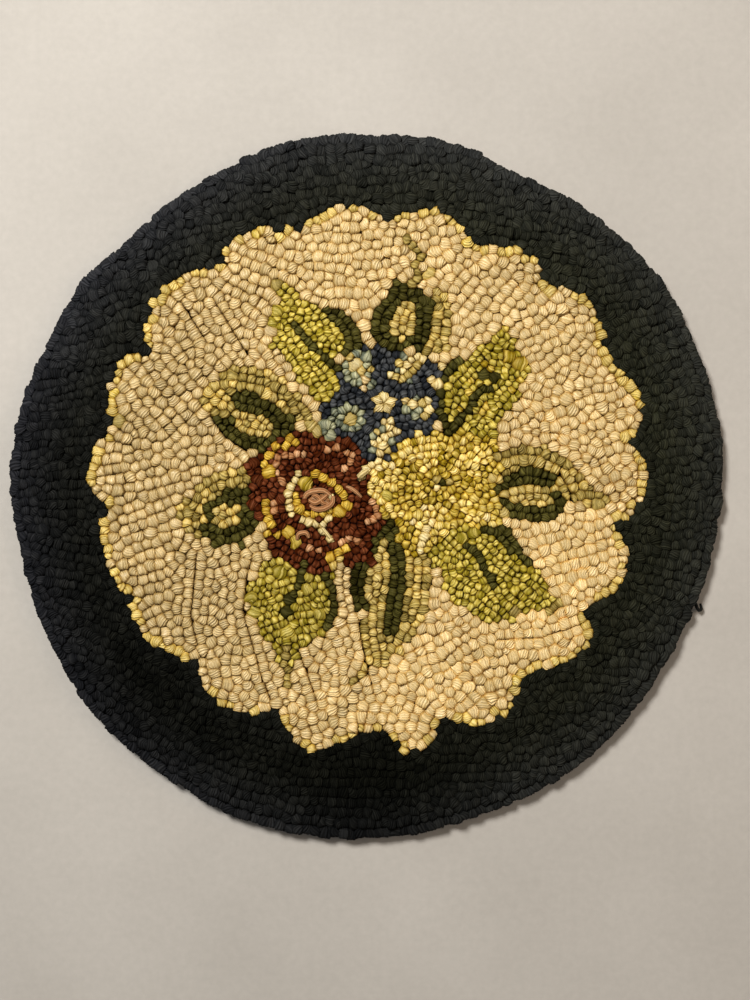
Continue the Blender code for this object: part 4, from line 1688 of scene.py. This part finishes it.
class Tube:
    """A soft flat strand along a line, with tapered closed ends; its maps are kept for each face corner."""

    SIDES = 10
    STEPS = 6
    # Mix of the yarn's two colours, as mean and spread
    MIX = (0.80, 0.25)
    # Width at the ends, how fast it grows, and depth of the grooves as shares of the strand's width
    TIP = 0.35
    TAPER_POWER = 0.4
    BLUNT_END = 0.04
    GROOVES = (-0.08, 0.10)
    # Painted light and shade of the strand: in the grooves, and what the ridges and the upper side add
    GROOVE_LIGHT = 0.80
    RIDGE_LIGHT = 0.12
    UPPER_LIGHT = 0.12
    # On the finish map: the share that the length takes, and above it the places and the size of the ends
    TILE_LENGTH = 0.85
    END_TILES = (0.25, 0.75)
    END_HEIGHT = 0.93
    END_SIZE = (0.2, 0.05)

    def __init__(self, line, width, thick, draw, yarn):
        self.corners = []
        self.tints = []
        self.faces = []
        self.strand = []
        self.tiles = []
        middles = smooth_line(line, self.STEPS)
        runs = [0.0]
        for before, after in zip(middles, middles[1:]):
            runs.append(runs[-1] + (after - before).length)
        colour = Vector(YARNS[yarn].colour)
        second = Vector(YARNS[yarn].second_colour)
        mixes = [float(np.clip(draw.normal(*self.MIX), 0, 1)) for side in range(self.SIDES)]
        last = len(middles) - 1
        for index, middle in enumerate(middles):
            along = (middles[min(index + 1, last)] - middles[max(index - 1, 0)]).normalized()
            across = along.cross(Vector((0.0, 0.0, 1.0))).normalized()
            up = across.cross(along)
            share = min(max(index / last, self.BLUNT_END), 1 - self.BLUNT_END)
            taper = self.TIP + (1 - self.TIP) * math.sin(math.pi * share) ** self.TAPER_POWER
            for side, mix in enumerate(mixes):
                angle = FULL_TURN * side / self.SIDES
                offset = across * (math.cos(angle) * width / 2) + up * (math.sin(angle) * thick / 2)
                self.corners.append(middle + offset * taper * (1 + self.GROOVES[side % 2]))
                shade = self.GROOVE_LIGHT + self.RIDGE_LIGHT * (side % 2) + self.UPPER_LIGHT * math.sin(angle)
                self.tints.append((colour * (1 - mix) + second * mix) * shade)
        shift = int(draw.integers(0, STRAND_RANGE))
        for index in range(last):
            for side in range(self.SIDES):
                beside = (side + 1) % self.SIDES
                low = index * self.SIDES
                high = low + self.SIDES
                self.faces.append((low + side, high + side, high + beside, low + beside))
                corners = ((side, index), (side, index + 1), (side + 1, index + 1), (side + 1, index))
                for around, step in corners:
                    self.strand.append((around / 2 + shift, runs[step] + shift))
                    self.tiles.append((around / self.SIDES, self.TILE_LENGTH * step / last))
        sides = list(range(self.SIDES))
        self.close_end(sides, 0, self.END_TILES[0], shift)
        self.close_end(sides[::-1], last * self.SIDES, self.END_TILES[1], shift)

    def close_end(self, order, first, tile_middle, shift):
        """A flat face over one end."""
        wide, high = self.END_SIZE
        self.faces.append(tuple(first + side for side in order))
        for side in order:
            east = math.cos(FULL_TURN * side / self.SIDES)
            north = math.sin(FULL_TURN * side / self.SIDES)
            self.strand.append((east / 2 + shift, north / 2 + shift))
            self.tiles.append((tile_middle + wide * east, self.END_HEIGHT + high * north))


def strand_mesh(name, yarn, lines, draw):
    """One mesh of several strands: lines holds the width, the thickness and the points of each."""
    # Room left on the finish map at either side of a strand
    margin = 0.02
    corners, faces, tints, strand, tiles = [], [], [], [], []
    for count, (width, thick, line) in enumerate(lines):
        part = Tube(line, width, thick, draw, yarn)
        first = len(corners)
        corners.extend(part.corners)
        faces.extend(tuple(first + corner for corner in face) for face in part.faces)
        tints.extend((*tint, 1.0) for tint in part.tints)
        strand.extend(part.strand)
        tiles.extend(((u * (1 - 2 * margin) + margin + count) / len(lines), v) for u, v in part.tiles)
    data = bpy.data.meshes.new(name)
    data.from_pydata([corner * MM for corner in corners], [], faces)
    data.shade_smooth()
    add_maps(data, tints, {"strand": strand, "OFBake": tiles})
    return data


def add_piece(name, data, material, slot):
    data.materials.append(material)
    piece = bpy.data.objects.new(name, data)
    bpy.context.scene.collection.objects.link(piece)
    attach(piece, "root")
    return piece


# Grid of each kind of loop: strands, rows, and how much the rows bunch towards the ends of a loop
GRIDS = {
    "rim": Grid(4, 9, 0.6),
    "large": Grid(5, 6),
    "border": Grid(5, 5),
    "small": Grid(3, 5),
    "narrow": Grid(2, 6),
}
# Loops over the first width take the large grid, and those up to the second take the narrow one
LARGE_WIDTH = 4.2
NARROW_WIDTH = 3.48
# How many pieces each yarn's loops are parted into
SECTORS = {"charcoal": 4, "ecru": 4}


def sector_of(loop, sectors):
    """Which share of the pad's turn a loop stands in, so that large groups become several pieces."""
    turn = math.atan2(loop.y, loop.x) / FULL_TURN + 0.5
    return min(int(turn * sectors), sectors - 1)


def grid_of(loop):
    """Name of the grid that suits a loop."""
    if loop.kind == "rim":
        return "rim"
    if loop.yarn == "charcoal":
        return "border"
    if loop.width > LARGE_WIDTH:
        return "large"
    return "small" if loop.width > NARROW_WIDTH else "narrow"


def build_pile(pad):
    """The loops, as one piece for each yarn or sector of a large one, and the loose strands."""
    chart = make_chart(pad)
    draw = np.random.default_rng(SEED)
    tree = chart.tree()
    materials = {}
    for name, yarn in YARNS.items():
        materials[name] = wool_material(name + "_yarn", yarn.gloss, max(yarn.colour))
    pieces = []
    for yarn in YARNS:
        sectors = SECTORS.get(yarn, 1)
        for sector in range(sectors):
            groups = []
            for grid_name, grid in GRIDS.items():
                wanted = (yarn, sector, grid_name)
                loops = [
                    loop for loop in chart.loops
                    if (loop.yarn, sector_of(loop, sectors), grid_of(loop)) == wanted
                ]
                if loops:
                    groups.append((grid, shape_loops(loops, grid, tree, chart, draw)))
            name = yarn + "_loops" + (f"_{sector + 1}" if sectors > 1 else "")
            pieces.append(add_piece(name, join_loops(name, groups), materials[yarn], YARNS[yarn].slot))
    for yarn in ("pink", "cream"):
        lines = []
        for strand in STRANDS:
            if strand.yarn == yarn:
                places = [(*to_pad((px, py)), over) for px, py, over in strand.line]
                places = [(x, y, pad.top(x, y) + over) for x, y, over in places]
                lines.append((strand.width_mm, strand.thick_mm, places))
        name = yarn + "_strands"
        data = strand_mesh(name, yarn, lines, draw)
        pieces.append(add_piece(name, data, materials[yarn], YARNS[yarn].slot))
    tail = [(*to_pad((px, py)), z) for px, py, z in TAIL]
    data = strand_mesh("yarn_tail", "charcoal", [(TAIL_WIDTH, TAIL_WIDTH, tail)], draw)
    pieces.append(add_piece("yarn_tail", data, materials["charcoal"], "charcoal_wool"))
    return pieces


def floor_material():
    """Pale trowelled floor, plain with a faint cloudiness."""
    nodes = Nodes("plain_floor")
    cloud = nodes.spread(nodes.noise(nodes.place, detail=5.0, scale=9.0), 0.0, 1.0)
    grain = nodes.spread(nodes.noise(nodes.place, detail=4.0, scale=260.0), 0.96, 1.03)
    tones = {"Factor": cloud, "A": (0.405, 0.386, 0.362, 1.0), "B": (0.460, 0.440, 0.415, 1.0)}
    ramp = nodes.add("Mix", tones, data_type="RGBA")
    nodes.feed(nodes.shader, {"Base Color": nodes.tinted(ramp.outputs["Result"], grain), "Roughness": 0.75})
    return nodes.material


def add_floor():
    half = 3.0
    # Just under the pad, so that the two never share a plane
    below = 0.0004
    data = bpy.data.meshes.new("floor")
    corners = [(-half, -half, 0.0), (half, -half, 0.0), (half, half, 0.0), (-half, half, 0.0)]
    data.from_pydata(corners, [], [(0, 1, 2, 3)])
    data.materials.append(floor_material())
    floor = bpy.data.objects.new("floor", data)
    floor.location.z = -below
    bpy.context.scene.collection.objects.link(floor)


def add_area_light(name, place, size, energy, colour):
    """A round soft light aimed at the pad's middle."""
    data = bpy.data.lights.new(name, "AREA")
    data.shape = "DISK"
    data.size = size
    data.energy = energy
    data.color = colour
    light = bpy.data.objects.new(name, data)
    light.location = place
    light.rotation_euler = (-Vector(place)).to_track_quat("-Z", "Y").to_euler()
    bpy.context.scene.collection.objects.link(light)


def add_lights():
    add_area_light("key_light", place=(-0.45, 0.57, 1.08), size=0.36, energy=22.2, colour=(1.0, 0.96, 0.89))
    add_area_light("warm_fill", place=(0.9, 0.1, 0.8), size=0.8, energy=3.4, colour=(1.0, 0.78, 0.56))
    world = bpy.data.worlds.new("soft_room")
    world.use_nodes = True
    background = world.node_tree.nodes["Background"]
    background.inputs["Color"].default_value = (0.95, 0.92, 0.88, 1.0)
    background.inputs["Strength"].default_value = 0.155
    bpy.context.scene.world = world


def add_camera():
    """Straight down, so that the photograph's frame covers the same part of the floor."""
    over_pad = 0.62
    data = bpy.data.cameras.new("photo_camera")
    data.sensor_fit = "VERTICAL"
    data.sensor_height = 36.0
    data.lens = data.sensor_height * over_pad / (PHOTO_HIGH * PIXEL_MM * MM)
    camera = bpy.data.objects.new("photo_camera", data)
    x, y = to_pad((PHOTO_WIDE / 2, PHOTO_HIGH / 2))
    top = CAD_BOX[1][2]
    camera.location = (x * MM, y * MM, top + over_pad)
    bpy.context.scene.collection.objects.link(camera)
    bpy.context.scene.camera = camera


def build():
    pad = PadShape(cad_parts["hooked_pad"])
    add_camera()
    add_lights()
    add_floor()
    pieces = build_pile(pad)
    cloth = foundation(pad)
    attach(cloth, "root")
    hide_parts("hooked_pad")
    area = sum(math.pi * (reach * MM) ** 2 for reach in pad.reaches) / len(pad.reaches)


bpy.context.scene.view_settings.view_transform = "Standard"
build()
